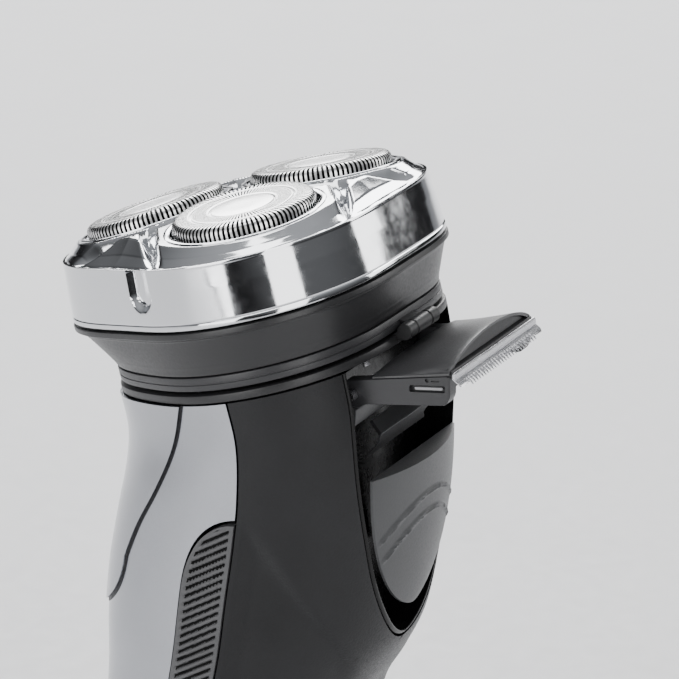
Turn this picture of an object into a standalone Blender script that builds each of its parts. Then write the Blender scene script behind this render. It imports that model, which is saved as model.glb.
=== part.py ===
"""Rotary electric shaver: a tilted three-cap head on a waisted handle with a fold-out trimmer at the rear.

Lengths below are millimetres. The width runs along X, the front faces -Y and the flat base rests on Z = 0.
"""
import math

import bpy
import bmesh
import numpy as np
from mathutils import Matrix, Vector

MM = 0.001

# handle stations: front y, front z, rear y, rear z, half width, triangle term, square term
STATIONS = np.array([
    (-15.5, 0.0, 16.0, 0.0, 18.6, 0.0, -0.5),
    (-17.3, 5.0, 17.4, 5.0, 20.2, 0.0, -0.6),
    (-17.9, 25.0, 17.2, 25.0, 22.0, 0.0, -0.6),
    (-18.6, 45.0, 16.4, 45.0, 22.8, 0.0, -0.6),
    (-19.4, 60.0, 17.0, 60.0, 23.6, 0.0, -0.6),
    (-20.0, 72.0, 20.4, 72.0, 24.3, 0.0, -0.6),
    (-20.2, 79.0, 24.6, 79.0, 24.8, 0.0, -0.6),
    (-20.1, 86.5, 28.2, 86.0, 25.3, -0.2, -0.6),
    (-19.2, 95.0, 30.2, 95.5, 25.8, -0.2, -0.6),
    (-17.5, 104.0, 31.4, 106.0, 26.3, 0.0, -0.6),
    (-16.6, 110.0, 31.8, 115.5, 26.7, 0.4, -0.5),
    (-17.2, 115.5, 31.0, 126.0, 26.9, 1.3, -0.3),
    (-19.5, 120.6, 28.7, 134.2, 27.2, 2.27, 0.0),
])
TOP = 11.96
SHELL = 2.0

# angles round the handle, in degrees from +X, at which its outer pieces meet
SIDE_BORDER = 8.7
FRONT_EDGE = -9.2
GRIP_EDGE = -8.5
GRIP_SEAM = 0.7

# keys and lamp on the front: place, half height and half angle, then the growth and insets of their holes
POWER_KEY = (8.35, 0.62, 17.0)
RELEASE_KEY = (11.05, 0.45, 13.0)
LAMP = (7.3, 0.1, 3.2)
KEY_HOLE = (0.45, -2.0, 4.0)
LAMP_HOLE = (0.15, -2.0, 4.0)

# fasteners and pins inside the handle
BASE_SCREW_XS = (-12.0, 12.0)
BASE_SCREW_Y = -2.0
SOCKET_PIN_XS = (-1.9, 1.9)
CELL_XS = (-7.2, 7.2)

# head frame: origin on the head axis at the cap plane, leaning to the front
HEAD_TILT = math.radians(15.79)
HEAD_ORIGIN = Vector((0.0, -1.0, 153.0))
CAP_ANGLES = (30.0, 150.0, 270.0)
CAP_PITCH_R = 15.575
CAP_CANT = math.radians(5.25)
CAP_R = 11.25
CAP_TOP_Z = 0.57
PLATFORM_R = 13.6
PLATFORM_Z = -1.3
RIM_Z = -4.5
CONE_BOTTOM_Z = -21.88
NECK_TOP_Z = -22.1
NECK_BOTTOM_Z = -24.3
COLLAR_TOP_Z = -24.86
COLLAR_BOTTOM_Z = -26.18
HEAD_PIN = (25.0, -24.58)
NOTCH_ANGLES = (193.5, 346.5)
NOTCH_HALF = 2.4
NOTCH_REACH = 1.9
NOTCH_DEPTH = 0.8

# head and neck outlines: mean radius, three-lobe term, oval term and shift towards the rear
LIP_R = 29.31
LIP_LOBES = 2.99
NECK_R = 25.90
COLLAR_R = 26.15
NECK_LOBES = 2.27
NECK_OVAL = 1.10
NECK_Y = 0.645
RING_EDGE = 0.25

# gear train in the head frame
GEAR_MODULE = 0.73
PINION_TEETH = 20
GEAR_TEETH = 20
GEAR_CENTRE = GEAR_MODULE * (PINION_TEETH + GEAR_TEETH) / 2
GEAR_Z = (-24.0, -22.5)
DECK_SCREW_R = 14.0
DECK_SCREW_ANGLES = (90.0, 210.0, 330.0)
CUTTER_BLADES = 15

# trimmer, y and z of its hinge pin and its side arm
TRIM_PIVOT = (26.0, 128.8)
ARM_HALF = 15.35
ARM_SIDE = ((24.0, 129.8), (24.6, 130.8), (25.6, 131.0), (41.9, 133.9), (42.1, 129.2), (27.9, 127.4),
            (26.8, 126.7), (25.2, 126.8), (24.0, 128.0))
BLADE_Y = 42.4
BLADE_THICK = 0.45
BLADE_SLOPE = math.radians(34)
SLIDER_BACK = 28.7
SLIDER_TOP_Z = 115.1
SLIDER_TIP_Z = 90.1
SLIDER_HALF = 15.06


class Frame:
    """Placement of a piece: a matrix in millimetres whose Z is the piece's own axis."""

    def __init__(self, matrix):
        self.matrix = matrix

    def child(self, x, y, z, lean=0.0, turn=0.0):
        step = Matrix.Translation((x, y, z)) @ Matrix.Rotation(turn, 4, "Z") @ Matrix.Rotation(lean, 4, "Y")
        return Frame(self.matrix @ step)


WORLD = Frame(Matrix.Identity(4))
HEAD = Frame(Matrix.Translation(HEAD_ORIGIN) @ Matrix.Rotation(HEAD_TILT, 4, "X"))


# ---------------------------------------------------------------- materials

def material(name, colour, metallic, roughness):
    found = bpy.data.materials.get(name)
    if found:
        return found
    mat = bpy.data.materials.new(name)
    mat.use_nodes = True
    shader = mat.node_tree.nodes["Principled BSDF"]
    shader.inputs["Base Color"].default_value = (*colour, 1.0)
    shader.inputs["Metallic"].default_value = metallic
    shader.inputs["Roughness"].default_value = roughness
    return mat


FINISHES = {
    "silver": ((0.55, 0.56, 0.58), 0.6, 0.35),
    "black": ((0.03, 0.03, 0.035), 0.0, 0.55),
    "gloss_black": ((0.01, 0.01, 0.012), 0.0, 0.1),
    "grip_rubber": ((0.025, 0.025, 0.028), 0.0, 0.8),
    "chrome": ((0.75, 0.76, 0.78), 1.0, 0.08),
    "dark_grey": ((0.07, 0.07, 0.075), 0.0, 0.5),
    "steel": ((0.6, 0.6, 0.62), 1.0, 0.25),
    "white_plastic": ((0.8, 0.8, 0.78), 0.0, 0.4),
    "board_green": ((0.03, 0.2, 0.08), 0.0, 0.5),
    "brass": ((0.75, 0.55, 0.25), 1.0, 0.3),
    "lens": ((0.1, 0.6, 0.2), 0.0, 0.15),
    "cell_wrap": ((0.1, 0.25, 0.5), 0.0, 0.4),
}


# ---------------------------------------------------------------- meshes

def build(name, verts, faces, finish, frame=WORLD, smooth=True):
    """Object from millimetre vertices in the frame's own coordinates."""
    mesh = bpy.data.meshes.new(name)
    mesh.from_pydata([tuple(c * MM for c in v) for v in verts], [], faces)
    bm = bmesh.new()
    bm.from_mesh(mesh)
    bmesh.ops.remove_doubles(bm, verts=bm.verts, dist=1e-6)
    bmesh.ops.recalc_face_normals(bm, faces=bm.faces)
    if bm.calc_volume(signed=True) < 0:
        bmesh.ops.reverse_faces(bm, faces=bm.faces)
    bm.to_mesh(mesh)
    bm.free()
    obj = bpy.data.objects.new(name, mesh)
    bpy.context.scene.collection.objects.link(obj)
    matrix = frame.matrix.copy()
    matrix.translation = matrix.translation * MM
    obj.matrix_world = matrix
    mesh.materials.append(material(finish, *FINISHES[finish]))
    for poly in mesh.polygons:
        poly.use_smooth = smooth
    if smooth:
        mesh.set_sharp_from_angle(angle=math.radians(32))
    return obj


def combine(obj, other, operation):
    """Apply an exact Boolean and drop the tool object."""
    other.hide_render = True
    other.display_type = "WIRE"
    mod = obj.modifiers.new("cut", "BOOLEAN")
    mod.operation = operation
    mod.solver = "EXACT"
    mod.object = other
    bpy.context.view_layer.update()
    result = bpy.data.meshes.new_from_object(obj.evaluated_get(bpy.context.evaluated_depsgraph_get()))
    obj.modifiers.clear()
    while len(result.materials) > 1:
        result.materials.pop()
    for poly in result.polygons:
        poly.material_index = 0
    weld(result)
    obj.data = result
    bpy.data.objects.remove(other, do_unlink=True)
    return obj


def weld(mesh):
    bm = bmesh.new()
    bm.from_mesh(mesh)
    bmesh.ops.remove_doubles(bm, verts=bm.verts, dist=2e-6)
    bmesh.ops.dissolve_degenerate(bm, edges=bm.edges, dist=2e-6)
    bm.to_mesh(mesh)
    bm.free()


def cut(obj, *tools):
    for tool in tools:
        combine(obj, tool, "DIFFERENCE")
    return obj


def join(obj, *tools):
    for tool in tools:
        combine(obj, tool, "UNION")
    return obj


def parented(empty, *objects):
    for obj in objects:
        obj.parent = empty
        obj.matrix_parent_inverse = empty.matrix_world.inverted()


def pivot(name, frame):
    empty = bpy.data.objects.new(name, None)
    matrix = frame.matrix.copy()
    matrix.translation = matrix.translation * MM
    empty.matrix_world = matrix
    empty.empty_display_size = 0.005
    bpy.context.scene.collection.objects.link(empty)
    bpy.context.view_layer.update()
    return empty


def loft(name, rings, finish, frame=WORLD, smooth=True):
    """Closed solid through equal rings, flat at both ends."""
    n = len(rings[0])
    verts = [p for ring in rings for p in ring]
    faces = [list(range(n))[::-1], [(len(rings) - 1) * n + i for i in range(n)]]
    for k in range(len(rings) - 1):
        for i in range(n):
            j = (i + 1) % n
            faces.append([k * n + i, k * n + j, (k + 1) * n + j, (k + 1) * n + i])
    return build(name, verts, faces, finish, frame, smooth)


def tube(name, rings, finish, frame=WORLD, smooth=True):
    """Closed ring-shaped solid: the last ring joins the first."""
    n = len(rings[0])
    verts = [p for ring in rings for p in ring]
    faces = []
    for k in range(len(rings)):
        m = (k + 1) % len(rings)
        for i in range(n):
            j = (i + 1) % n
            faces.append([k * n + i, k * n + j, m * n + j, m * n + i])
    return build(name, verts, faces, finish, frame, smooth)


def revolve(name, profile, finish, frame=WORLD, segments=32, at=(0.0, 0.0)):
    """Turned solid about the frame's Z, or a parallel axis; the profile starts and ends on the axis."""
    rings = [[(x + at[0], y + at[1], z) for x, y, _ in circle(r, z, segments)] for r, z in profile[1:-1]]
    n = segments
    verts = [p for ring in rings for p in ring] + [(*at, profile[0][1]), (*at, profile[-1][1])]
    first = len(verts) - 2
    last = len(verts) - 1
    faces = []
    for k in range(len(rings) - 1):
        for i in range(n):
            j = (i + 1) % n
            faces.append([k * n + i, k * n + j, (k + 1) * n + j, (k + 1) * n + i])
    base = (len(rings) - 1) * n
    for i in range(n):
        j = (i + 1) % n
        faces.append([first, j, i])
        faces.append([last, base + i, base + j])
    return build(name, verts, faces, finish, frame)


def turned_ring(name, profile, finish, frame=WORLD, segments=32):
    return tube(name, [circle(r, z, segments) for r, z in profile], finish, frame)


def circle(r, z, segments):
    steps = [2 * math.pi * i / segments for i in range(segments)]
    return [(r * math.cos(a), r * math.sin(a), z) for a in steps]


def cylinder(name, r, z0, z1, finish, frame=WORLD, segments=24):
    return loft(name, [circle(r, z0, segments), circle(r, z1, segments)], finish, frame)


def box(name, low, high, finish, frame=WORLD):
    ring = ((low[0], low[1]), (high[0], low[1]), (high[0], high[1]), (low[0], high[1]))
    rings = [[(x, y, z) for x, y in ring] for z in (low[2], high[2])]
    return loft(name, rings, finish, frame, smooth=False)


def prism_x(name, side, x0, x1, finish, frame=WORLD, smooth=False):
    """Extrude a side outline of (y, z) points along X."""
    return loft(name, [[(x, y, z) for y, z in side] for x in (x0, x1)], finish, frame, smooth)


# ---------------------------------------------------------------- handle surface

def station(v):
    """Smooth interpolation of the stations at position v."""
    n = len(STATIONS)
    i = int(min(max(math.floor(v), 0), n - 2))
    t = v - i
    p1, p2 = STATIONS[i], STATIONS[i + 1]
    p0 = STATIONS[i - 1] if i > 0 else 2 * p1 - p2
    p3 = STATIONS[i + 2] if i + 2 < n else 2 * p2 - p1
    return 0.5 * (2 * p1 + (p2 - p0) * t + (2 * p0 - 5 * p1 + 4 * p2 - p3) * t * t
                  + (3 * p1 - p0 - 3 * p2 + p3) * t ** 3)


def smooth_step(x):
    x = min(max(x, 0.0), 1.0)
    return x * x * (3 - 2 * x)


def scoop(v, degrees):
    """Depth of the hollow below the crease that sweeps back from each side grip."""
    away = 90.0 - abs((degrees - 90.0 + 180.0) % 360.0 - 180.0)
    if away < 9.0 or v > 9.6:
        return 0.0
    crease = 9.5 - 0.0545 * (away - 11.5)
    into = smooth_step((crease - v) / 0.4)
    fade = smooth_step((v - 4.5) / 3.0)
    return 1.2 * into * fade * smooth_step((away - 9.0) / 8.0) * smooth_step((66.0 - away) / 14.0)


def skin(v, degrees, inset=0.0):
    """Point of the handle's outer surface moved inwards by inset."""
    fy, fz, ry, rz, half, k3, k4 = station(v)
    length = math.hypot(ry - fy, rz - fz)
    dy, dz = (ry - fy) / length, (rz - fz) / length
    mean = length / 2
    k2 = (half - mean) / 2
    r0 = (half + mean) / 2 - k4
    a = math.radians(degrees)
    radius = r0 + k2 * math.cos(2 * a) + k3 * math.sin(3 * a) + k4 * math.cos(4 * a) - inset
    radius -= scoop(v, degrees)
    along = mean + k3 + radius * math.sin(a)
    return (radius * math.cos(a), fy + dy * along, fz + dz * along)


def patch(name, vs, left, right, outer, inner, columns, finish, straight=False):
    """Closed thick piece of the handle skin between the angles left(v) and right(v).

    A straight piece has parallel walls that run inwards along the neck plane; inner is then its depth.
    """
    grids = []
    for layer in (0, 1):
        for v in vs:
            a, b = left(v), right(v)
            inset = inner if layer and not straight else outer
            row = [skin(v, a + (b - a) * c / columns, inset) for c in range(columns + 1)]
            if layer and straight:
                dy, dz = inner * math.cos(HEAD_TILT), inner * math.sin(HEAD_TILT)
                row = [(x, y - dy, z - dz) for x, y, z in row]
            grids.append(row)
    rows, n = len(vs), columns + 1
    verts = [p for row in grids for p in row]
    faces = []
    for side in (0, rows * n):
        for r in range(rows - 1):
            for c in range(columns):
                a = side + r * n + c
                faces.append([a, a + 1, a + n + 1, a + n])
    back = rows * n
    for r in range(rows - 1):
        for c in (0, columns):
            a = r * n + c
            faces.append([a, a + n, a + n + back, a + back])
    for r in (0, rows - 1):
        for c in range(columns):
            a = r * n + c
            faces.append([a, a + 1, a + 1 + back, a + back])
    return build(name, verts, faces, finish)


def spread(v0, v1, count):
    return [v0 + (v1 - v0) * i / count for i in range(count + 1)]


def tapered(v0, v1, count):
    """Rows crowded towards v0, where a rounded region closes."""
    return [v0 + (v1 - v0) * (i / count) ** 2 for i in range(count + 1)]


def border(v):
    """Edge of the black rear, the same all the way up."""
    return SIDE_BORDER


def front_border(v):
    """Rear edge of the silver front: it steps forward around the grip's rounded top."""
    if v > 9.55:
        return border(v) - GRIP_SEAM
    if v < 8.25:
        return FRONT_EDGE
    return FRONT_EDGE + 17.2 * (1 - math.sqrt(max(0.0, 1 - ((v - 8.25) / 1.3) ** 2)))


def grip_border(v):
    """Front edge of the rubber grip."""
    if v > 8.2:
        return GRIP_EDGE + 16.5 * (1 - math.sqrt(max(0.0, 1 - ((v - 8.2) / 1.25) ** 2)))
    return GRIP_EDGE


def panel_half(v, grow=0.0):
    """Half angle of the raised front panel, closing in a round end near v = 6.9."""
    wide = 78.0 - 7.0 * (11.96 - v) if v > 8.4 else 53.1
    low = 6.9 - grow * 0.12
    if v < 8.4:
        wide *= max(0.0, 1 - ((8.4 - v) / (8.4 - low)) ** 2.4) ** 0.5
    return max(wide + 2.2 * grow, 0.6)


def recess_half(v, shrink=0.0):
    """Half angle of the U-shaped rear recess, measured from the rear centre line."""
    depth = 4.15 - shrink * 0.12
    drop = min(max(11.0 - v, 0.0) / depth, 1.0)
    return max(43.5 * (1 - drop ** 1.75) ** (1 / 1.75) - 2.1 * shrink, 0.5)


# ---------------------------------------------------------------- handle pieces

def front_housing():
    rows = sorted(set(spread(0.0, 8.25, 8) + spread(8.25, 9.55, 5) + spread(9.55, TOP, 4)))
    shell = patch("front_housing", rows, lambda v: -180.0 - front_border(v), front_border, 0.0, SHELL, 22,
                  "silver")
    seat = patch("seat", panel_rows(1.5), lambda v: -90 - panel_half(v, 0.3),
                 lambda v: -90 + panel_half(v, 0.3), -1.5, 1.2, 14, "silver")
    return cut(shell, seat, power_block("hole", *KEY_HOLE), release_block("hole", *KEY_HOLE))


def panel_rows(grow):
    return sorted(set(tapered(6.9 - 0.02 * grow, 8.4, 6) + spread(8.4, TOP, 5) + [TOP + 0.04 * grow]))


def front_panel():
    panel = patch("front_panel", panel_rows(0.0), lambda v: -90 - panel_half(v),
                  lambda v: -90 + panel_half(v), -0.45, 0.8, 14, "silver")
    return cut(panel, power_block("hole", *KEY_HOLE), release_block("hole", *KEY_HOLE),
               lamp_block("hole", *LAMP_HOLE))


def oval_patch(name, place, grow, outer, inner, finish):
    """Oval plug on the front centre line."""
    centre, v_half, a_half = place

    def half(v):
        t = min(abs(v - centre) / (v_half + grow * 0.12), 1.0)
        return max((a_half + grow * 2.4) * math.sqrt(1 - t ** 2.4), 0.8)
    top = v_half + grow * 0.12
    rows = [centre + top * math.sin(math.pi / 2 * i / 4) for i in range(-4, 5)]
    return patch(name, rows, lambda v: -90 - half(v), lambda v: -90 + half(v), outer, inner, 6, finish)


def power_block(name, grow, outer, inner):
    return oval_patch(name, POWER_KEY, grow, outer, inner, "gloss_black")


def release_block(name, grow, outer, inner):
    return oval_patch(name, RELEASE_KEY, grow, outer, inner, "chrome")


def lamp_block(name, grow, outer, inner):
    return oval_patch(name, LAMP, grow, outer, inner, "lens")


def rear_housing():
    rows = sorted(set(spread(0.0, 4.0, 4) + spread(4.0, 7.0, 5) + spread(7.0, 9.7, 9) + spread(9.7, TOP, 4)))
    shell = patch("rear_housing", rows, border, lambda v: 180.0 - border(v), 0.0, SHELL, 24, "black")
    mouth = patch("mouth", recess_rows(12.2, -0.3), lambda v: 90 - recess_half(v, -0.3),
                  lambda v: 90 + recess_half(v, -0.3), -1.5, 12.0, 12, "black", straight=True)
    return cut(shell, mouth)


def recess_rows(top, shrink):
    return tapered(6.86 + shrink * 0.12, 11.0, 10) + spread(11.0, top, 3)[1:]


def trimmer_bezel():
    """Glossy tray that lines the U-shaped recess."""
    tray = patch("trimmer_bezel", recess_rows(TOP, 0.0), lambda v: 90 - recess_half(v),
                 lambda v: 90 + recess_half(v), 0.1, 8.0, 12, "gloss_black", straight=True)
    pocket = patch("pocket", recess_rows(11.87, 1.0), lambda v: 90 - recess_half(v, 0.6),
                   lambda v: 90 + recess_half(v, 0.6), -1.5, 8.6, 12, "gloss_black", straight=True)
    return cut(tray, pocket)


def side_grips():
    rows = sorted(set(spread(0.02, 8.2, 8) + spread(8.2, 9.4, 6)))
    patch("side_grip_right", rows, grip_border, lambda v: border(v) - GRIP_SEAM, -0.25, SHELL, 4, "grip_rubber")
    patch("side_grip_left", rows, lambda v: 180.0 + GRIP_SEAM - border(v), lambda v: 180.0 - grip_border(v),
          -0.25, SHELL, 4, "grip_rubber")


def section(v, inset, z, count=40):
    """Horizontal handle outline at a level near the base."""
    return [(x, y, z) for x, y, _ in (skin(v, 360.0 * i / count, inset) for i in range(count))]


def base_cap():
    plate = loft("base_cap", [section(0.0, SHELL + 0.4, 0.0), section(0.0, SHELL + 0.4, 3.0)], "black")
    hole = box("hole", (-5.3, 4.7, -1), (5.3, 11.3, 4), "black")
    bores = [cylinder("bore", 1.1, -1, 4, "black", WORLD.child(x, BASE_SCREW_Y, 0)) for x in BASE_SCREW_XS]
    return cut(plate, hole, *bores)


def base_screws():
    profile = ((0, 0.3), (0.95, 0.3), (0.95, 6.0), (0, 6.0))
    for index, x in enumerate(BASE_SCREW_XS, start=1):
        revolve(f"base_screw_{index}", profile, "steel", WORLD, 12, (x, BASE_SCREW_Y))


def charging_socket():
    body = box("charging_socket", (-5.0, 5.0, 0.4), (5.0, 11.0, 9.0), "black")
    mouth = box("mouth", (-3.9, 6.1, -0.5), (3.9, 9.9, 7.5), "black")
    cut(body, mouth)
    for index, x in enumerate(SOCKET_PIN_XS, start=1):
        box(f"socket_pin_{index}", (x - 0.6, 7.4, 1.6), (x + 0.6, 8.6, 7.2), "brass")


def chassis():
    plate = box("chassis", (-15.0, 2.4, 10.0), (15.0, 4.0, 98.0), "white_plastic")
    window = box("window", (-6.0, 0.0, 68.0), (6.0, 6.0, 90.0), "white_plastic")
    return cut(plate, window)


def battery_cells():
    profile = ((0, 0), (6.5, 0), (6.8, 0.4), (6.8, 48.0), (6.4, 48.6), (2.4, 48.6), (2.4, 49.8), (0, 49.8))
    for index, x in enumerate(CELL_XS, start=1):
        revolve(f"battery_cell_{index}", profile, "cell_wrap", WORLD.child(x, -5.0, 12.0), 16)


def battery_contacts():
    for index, z in enumerate((10.9, 62.2), start=1):
        box(f"battery_contact_{index}", (-13.0, -8.0, z), (13.0, -2.0, z + 0.7), "brass")


def circuit_board():
    box("circuit_board", (-13.0, -11.6, 66.0), (13.0, -10.2, 104.0), "board_green")
    box("power_switch", (-3.0, -14.9, 94.5), (3.0, -11.9, 100.5), "white_plastic")


# ---------------------------------------------------------------- motor and gears

def motor_parts():
    profile = ((0, -50.0), (6.6, -50.0), (7.0, -49.6), (7.0, -31.0), (6.6, -30.4), (2.6, -30.4),
               (2.6, -29.4), (1.15, -29.4), (1.15, -34.0), (0, -34.0))
    revolve("motor_can", profile, "steel", HEAD, 20)
    shaft = cylinder("motor_shaft", 0.95, -33.5, -22.4, "steel", HEAD, 20)
    pinion = gear("motor_pinion", PINION_TEETH, 1.05, 0.0, "brass", HEAD)
    parented(pivot("motor_axis", HEAD), shaft, pinion)


def gear(name, teeth, bore, phase, finish, frame):
    """Spur gear with relieved teeth; one tooth gap is centred on the angle phase."""
    pitch_r = GEAR_MODULE * teeth / 2
    outline = []
    for tooth in range(teeth):
        middle = phase + 2 * math.pi * (tooth + 0.5) / teeth
        for offset, add in ((-0.33, -0.85), (-0.13, 0.7), (0.13, 0.7), (0.33, -0.85)):
            a = middle + offset * 2 * math.pi / teeth
            outline.append((pitch_r + add * GEAR_MODULE, a))
    rings = [[(r * math.cos(a), r * math.sin(a), z) for r, a in outline] for z in GEAR_Z]
    wheel = loft(name, rings, finish, frame, smooth=False)
    return cut(wheel, cylinder("bore", bore, -26.0, -20.0, finish, frame, 16))


def around_head(radius, degrees):
    """Frame on a circle about the head axis."""
    a = math.radians(degrees)
    return HEAD.child(radius * math.cos(a), radius * math.sin(a), 0.0)


def drive_lines():
    """Three driven gears with their spindles, in mesh with the pinion at rest."""
    for index, degrees in enumerate(CAP_ANGLES, start=1):
        a = math.radians(degrees)
        frame = around_head(GEAR_CENTRE, degrees)
        pitch = 2 * math.pi / PINION_TEETH
        offset = ((a - pitch / 2) % pitch + pitch / 2) % pitch
        tooth = pitch / 2 - offset
        phase = a + math.pi - tooth * PINION_TEETH / GEAR_TEETH
        wheel = gear(f"driven_gear_{index}", GEAR_TEETH, 1.3, phase, "white_plastic", frame)
        profile = ((0, -26.2), (1.2, -26.2), (1.2, -20.6), (2.1, -20.2), (2.1, -12.5), (1.2, -12.0),
                   (1.2, -3.4), (0.8, -3.0), (0, -3.0))
        spindle = revolve(f"drive_spindle_{index}", profile, "steel", frame, 14)
        parented(pivot(f"drive_axis_{index}", frame), wheel, spindle)


# ---------------------------------------------------------------- head outlines

def lip_radius(a):
    """Radius of the chrome head, with a lobe over each cap."""
    return LIP_R + LIP_LOBES * math.cos(3 * (a - math.pi / 6))


def lip_outline(inset, z):
    ring = []
    for i in range(48):
        a = 2 * math.pi * i / 48
        r = lip_radius(a) - inset
        ring.append((r * math.cos(a), r * math.sin(a), z))
    return ring


def neck_outline(inset, z, count=48, base=NECK_R):
    """Outline of the neck, which is also the handle's top."""
    ring = []
    for i in range(count):
        a = 2 * math.pi * i / count
        r = base + NECK_LOBES * math.cos(3 * (a - math.pi / 6)) + NECK_OVAL * math.cos(2 * a) - inset
        ring.append((r * math.cos(a), r * math.sin(a) + NECK_Y, z))
    return ring


def blend(ring_a, ring_b, t, z):
    return [(a[0] + (b[0] - a[0]) * t, a[1] + (b[1] - a[1]) * t, z) for a, b in zip(ring_a, ring_b)]


def cap_centres():
    angles = [math.radians(d) for d in CAP_ANGLES]
    return [(CAP_PITCH_R * math.cos(a), CAP_PITCH_R * math.sin(a)) for a in angles]


def cap_frame(index):
    a = math.radians(CAP_ANGLES[index])
    return HEAD.child(CAP_PITCH_R * math.cos(a), CAP_PITCH_R * math.sin(a), CAP_TOP_Z, CAP_CANT, a)


def crown(x, y):
    """Height of the chrome cover's top at a point of the head plane."""
    near = min(math.hypot(x - cx, y - cy) for cx, cy in cap_centres())
    height = PLATFORM_Z - (PLATFORM_Z - RIM_Z) * min(max((near - PLATFORM_R) / 2.1, 0.0), 1.0)
    rho, a = math.hypot(x, y), math.atan2(y, x)
    for degrees in (90.0, 210.0, 330.0):
        apart = abs((a - math.radians(degrees) + math.pi) % (2 * math.pi) - math.pi)
        if apart < math.pi / 3:
            height -= max(0.0, 1.2 * (1 - rho * math.sin(apart) / 1.1)) * smooth_step(rho / 3.0)
    return height


def head_cover():
    levels = (0.04, 0.3, 0.5, 0.66, 0.8, 0.9, 0.96, 1.0)
    outer_rim = lip_outline(1.0, RIM_Z)
    inner_rim = lip_outline(2.8, RIM_Z)
    rings = [[(x * f, y * f, crown(x * f, y * f)) for x, y, _ in outer_rim] for f in levels]
    rings += [lip_outline(0.65, -8.0), lip_outline(0.2, -13.0), lip_outline(0.2, -14.1)]
    rings += [lip_outline(1.9, -14.1)]
    rings += [[(x * f, y * f, min(crown(x * f, y * f) - 1.2, PLATFORM_Z - 1.6)) for x, y, _ in inner_rim]
              for f in reversed(levels)]
    cover = loft("head_cover", rings, "chrome", HEAD)
    for index in range(3):
        cut(cover, cylinder("hole", CAP_R + 0.4, -9.0, 3.0, "chrome", cap_frame(index), 36))
    for degrees in NOTCH_ANGLES:
        cut(cover, finger_notch(math.radians(degrees)))
    return cover


def finger_notch(a):
    """Tool for a U-shaped notch in the cover's side, square to the outline at the angle a."""
    r = lip_radius(a) - 0.7
    slope = -3 * LIP_LOBES * math.sin(3 * (a - math.pi / 6))
    facing = a - math.atan2(slope, r)
    frame = HEAD.child(r * math.cos(a), r * math.sin(a), -7.0, math.pi / 2, facing)
    return stadium("tongue", NOTCH_HALF, NOTCH_REACH, -NOTCH_DEPTH, 3.0, "chrome", frame)


def stadium(name, r, reach, z0, z1, finish, frame):
    """Rounded-end slot prism along the frame's X."""
    points = []
    for i in range(9):
        a = -math.pi / 2 + math.pi * i / 8
        points.append((reach + r * math.cos(a), r * math.sin(a)))
    for i in range(9):
        a = math.pi / 2 + math.pi * i / 8
        points.append((-reach + r * math.cos(a), r * math.sin(a)))
    return loft(name, [[(x, y, z) for x, y in points] for z in (z0, z1)], finish, frame)


def hair_chamber():
    lip, low = lip_outline(0.0, 0.0), neck_outline(0.0, 0.0)
    lip_in, low_in = lip_outline(1.6, 0.0), neck_outline(1.6, 0.0)
    rings = [blend(lip, low, t, z) for t, z in ((0.0, -14.5), (0.0, -15.2), (0.25, -16.0), (0.72, -19.4),
                                               (0.94, -21.3), (1.03, CONE_BOTTOM_Z))]
    rings += [blend(lip_in, low_in, t, z) for t, z in ((1.08, CONE_BOTTOM_Z), (0.72, -19.2), (0.22, -15.9),
                                                     (0.04, -14.5))]
    return tube("hair_chamber", rings, "dark_grey", HEAD)


def ring_band(name, outline, z0, z1, finish):
    """Flat ring 3 mm wide with softened outer edges."""
    rings = [outline(RING_EDGE, z0), outline(0.0, z0 + RING_EDGE), outline(0.0, z1 - RING_EDGE),
             outline(RING_EDGE, z1), outline(3.0, z1), outline(3.0, z0)]
    return tube(name, rings, finish, HEAD)


def knuckle(name, root_low, root_high, x0, x1, start, finish):
    """Hinge barrel around the head pin with a web towards the ring."""
    py, pz = HEAD_PIN
    points = [(21.8, root_high), (21.8, root_low)]
    for i in range(13):
        a = start + 5.1 * i / 12
        points.append((py + 1.3 * math.cos(a), pz + 1.3 * math.sin(a)))
    return prism_x(name, points, x0, x1, finish, HEAD, smooth=True)


def pin_x(name, r, x0, x1, y, z, finish, frame=WORLD):
    ring = [(y + r * math.cos(2 * math.pi * i / 20), z + r * math.sin(2 * math.pi * i / 20)) for i in range(20)]
    return prism_x(name, ring, x0, x1, finish, frame, smooth=True)


def neck_ring():
    ring = ring_band("neck_ring", neck_outline, NECK_BOTTOM_Z, NECK_TOP_Z, "dark_grey")
    join(ring, knuckle("barrel", -23.9, -22.4, -2.4, 2.4, -2.9, "dark_grey"))
    return cut(ring, pin_x("bore", 0.77, -3.0, 3.0, *HEAD_PIN, "dark_grey", HEAD))


def collar_ring():
    def outline(inset, z):
        return neck_outline(inset, z, base=COLLAR_R)
    ring = ring_band("collar_ring", outline, COLLAR_BOTTOM_Z, COLLAR_TOP_Z, "black")
    join(ring, *(knuckle("lug", -26.0, -25.1, x, x + 2.5, -2.2, "black") for x in (-5.2, 2.7)))
    return cut(ring, pin_x("bore", 0.72, -6.0, 6.0, *HEAD_PIN, "black", HEAD))


def shaving_caps():
    profile = ((0, 0), (4.9, 0), (5.1, -0.35), (5.3, 0), (8.05, 0), (8.15, -0.4), (8.35, 0), (10.2, 0),
               (10.85, -0.3), (CAP_R, -0.95), (CAP_R, -5.8), (12.1, -5.8), (12.1, -6.3), (10.6, -6.3),
               (10.6, -1.3), (10.1, -0.85), (0, -0.85))
    for index in range(3):
        frame = cap_frame(index)
        cap = revolve(f"shaving_cap_{index + 1}", profile, "chrome", frame, 26)
        blade = cutter(f"cutter_{index + 1}", frame)
        parented(pivot(f"cap_axis_{index + 1}", frame), cap, blade)


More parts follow.
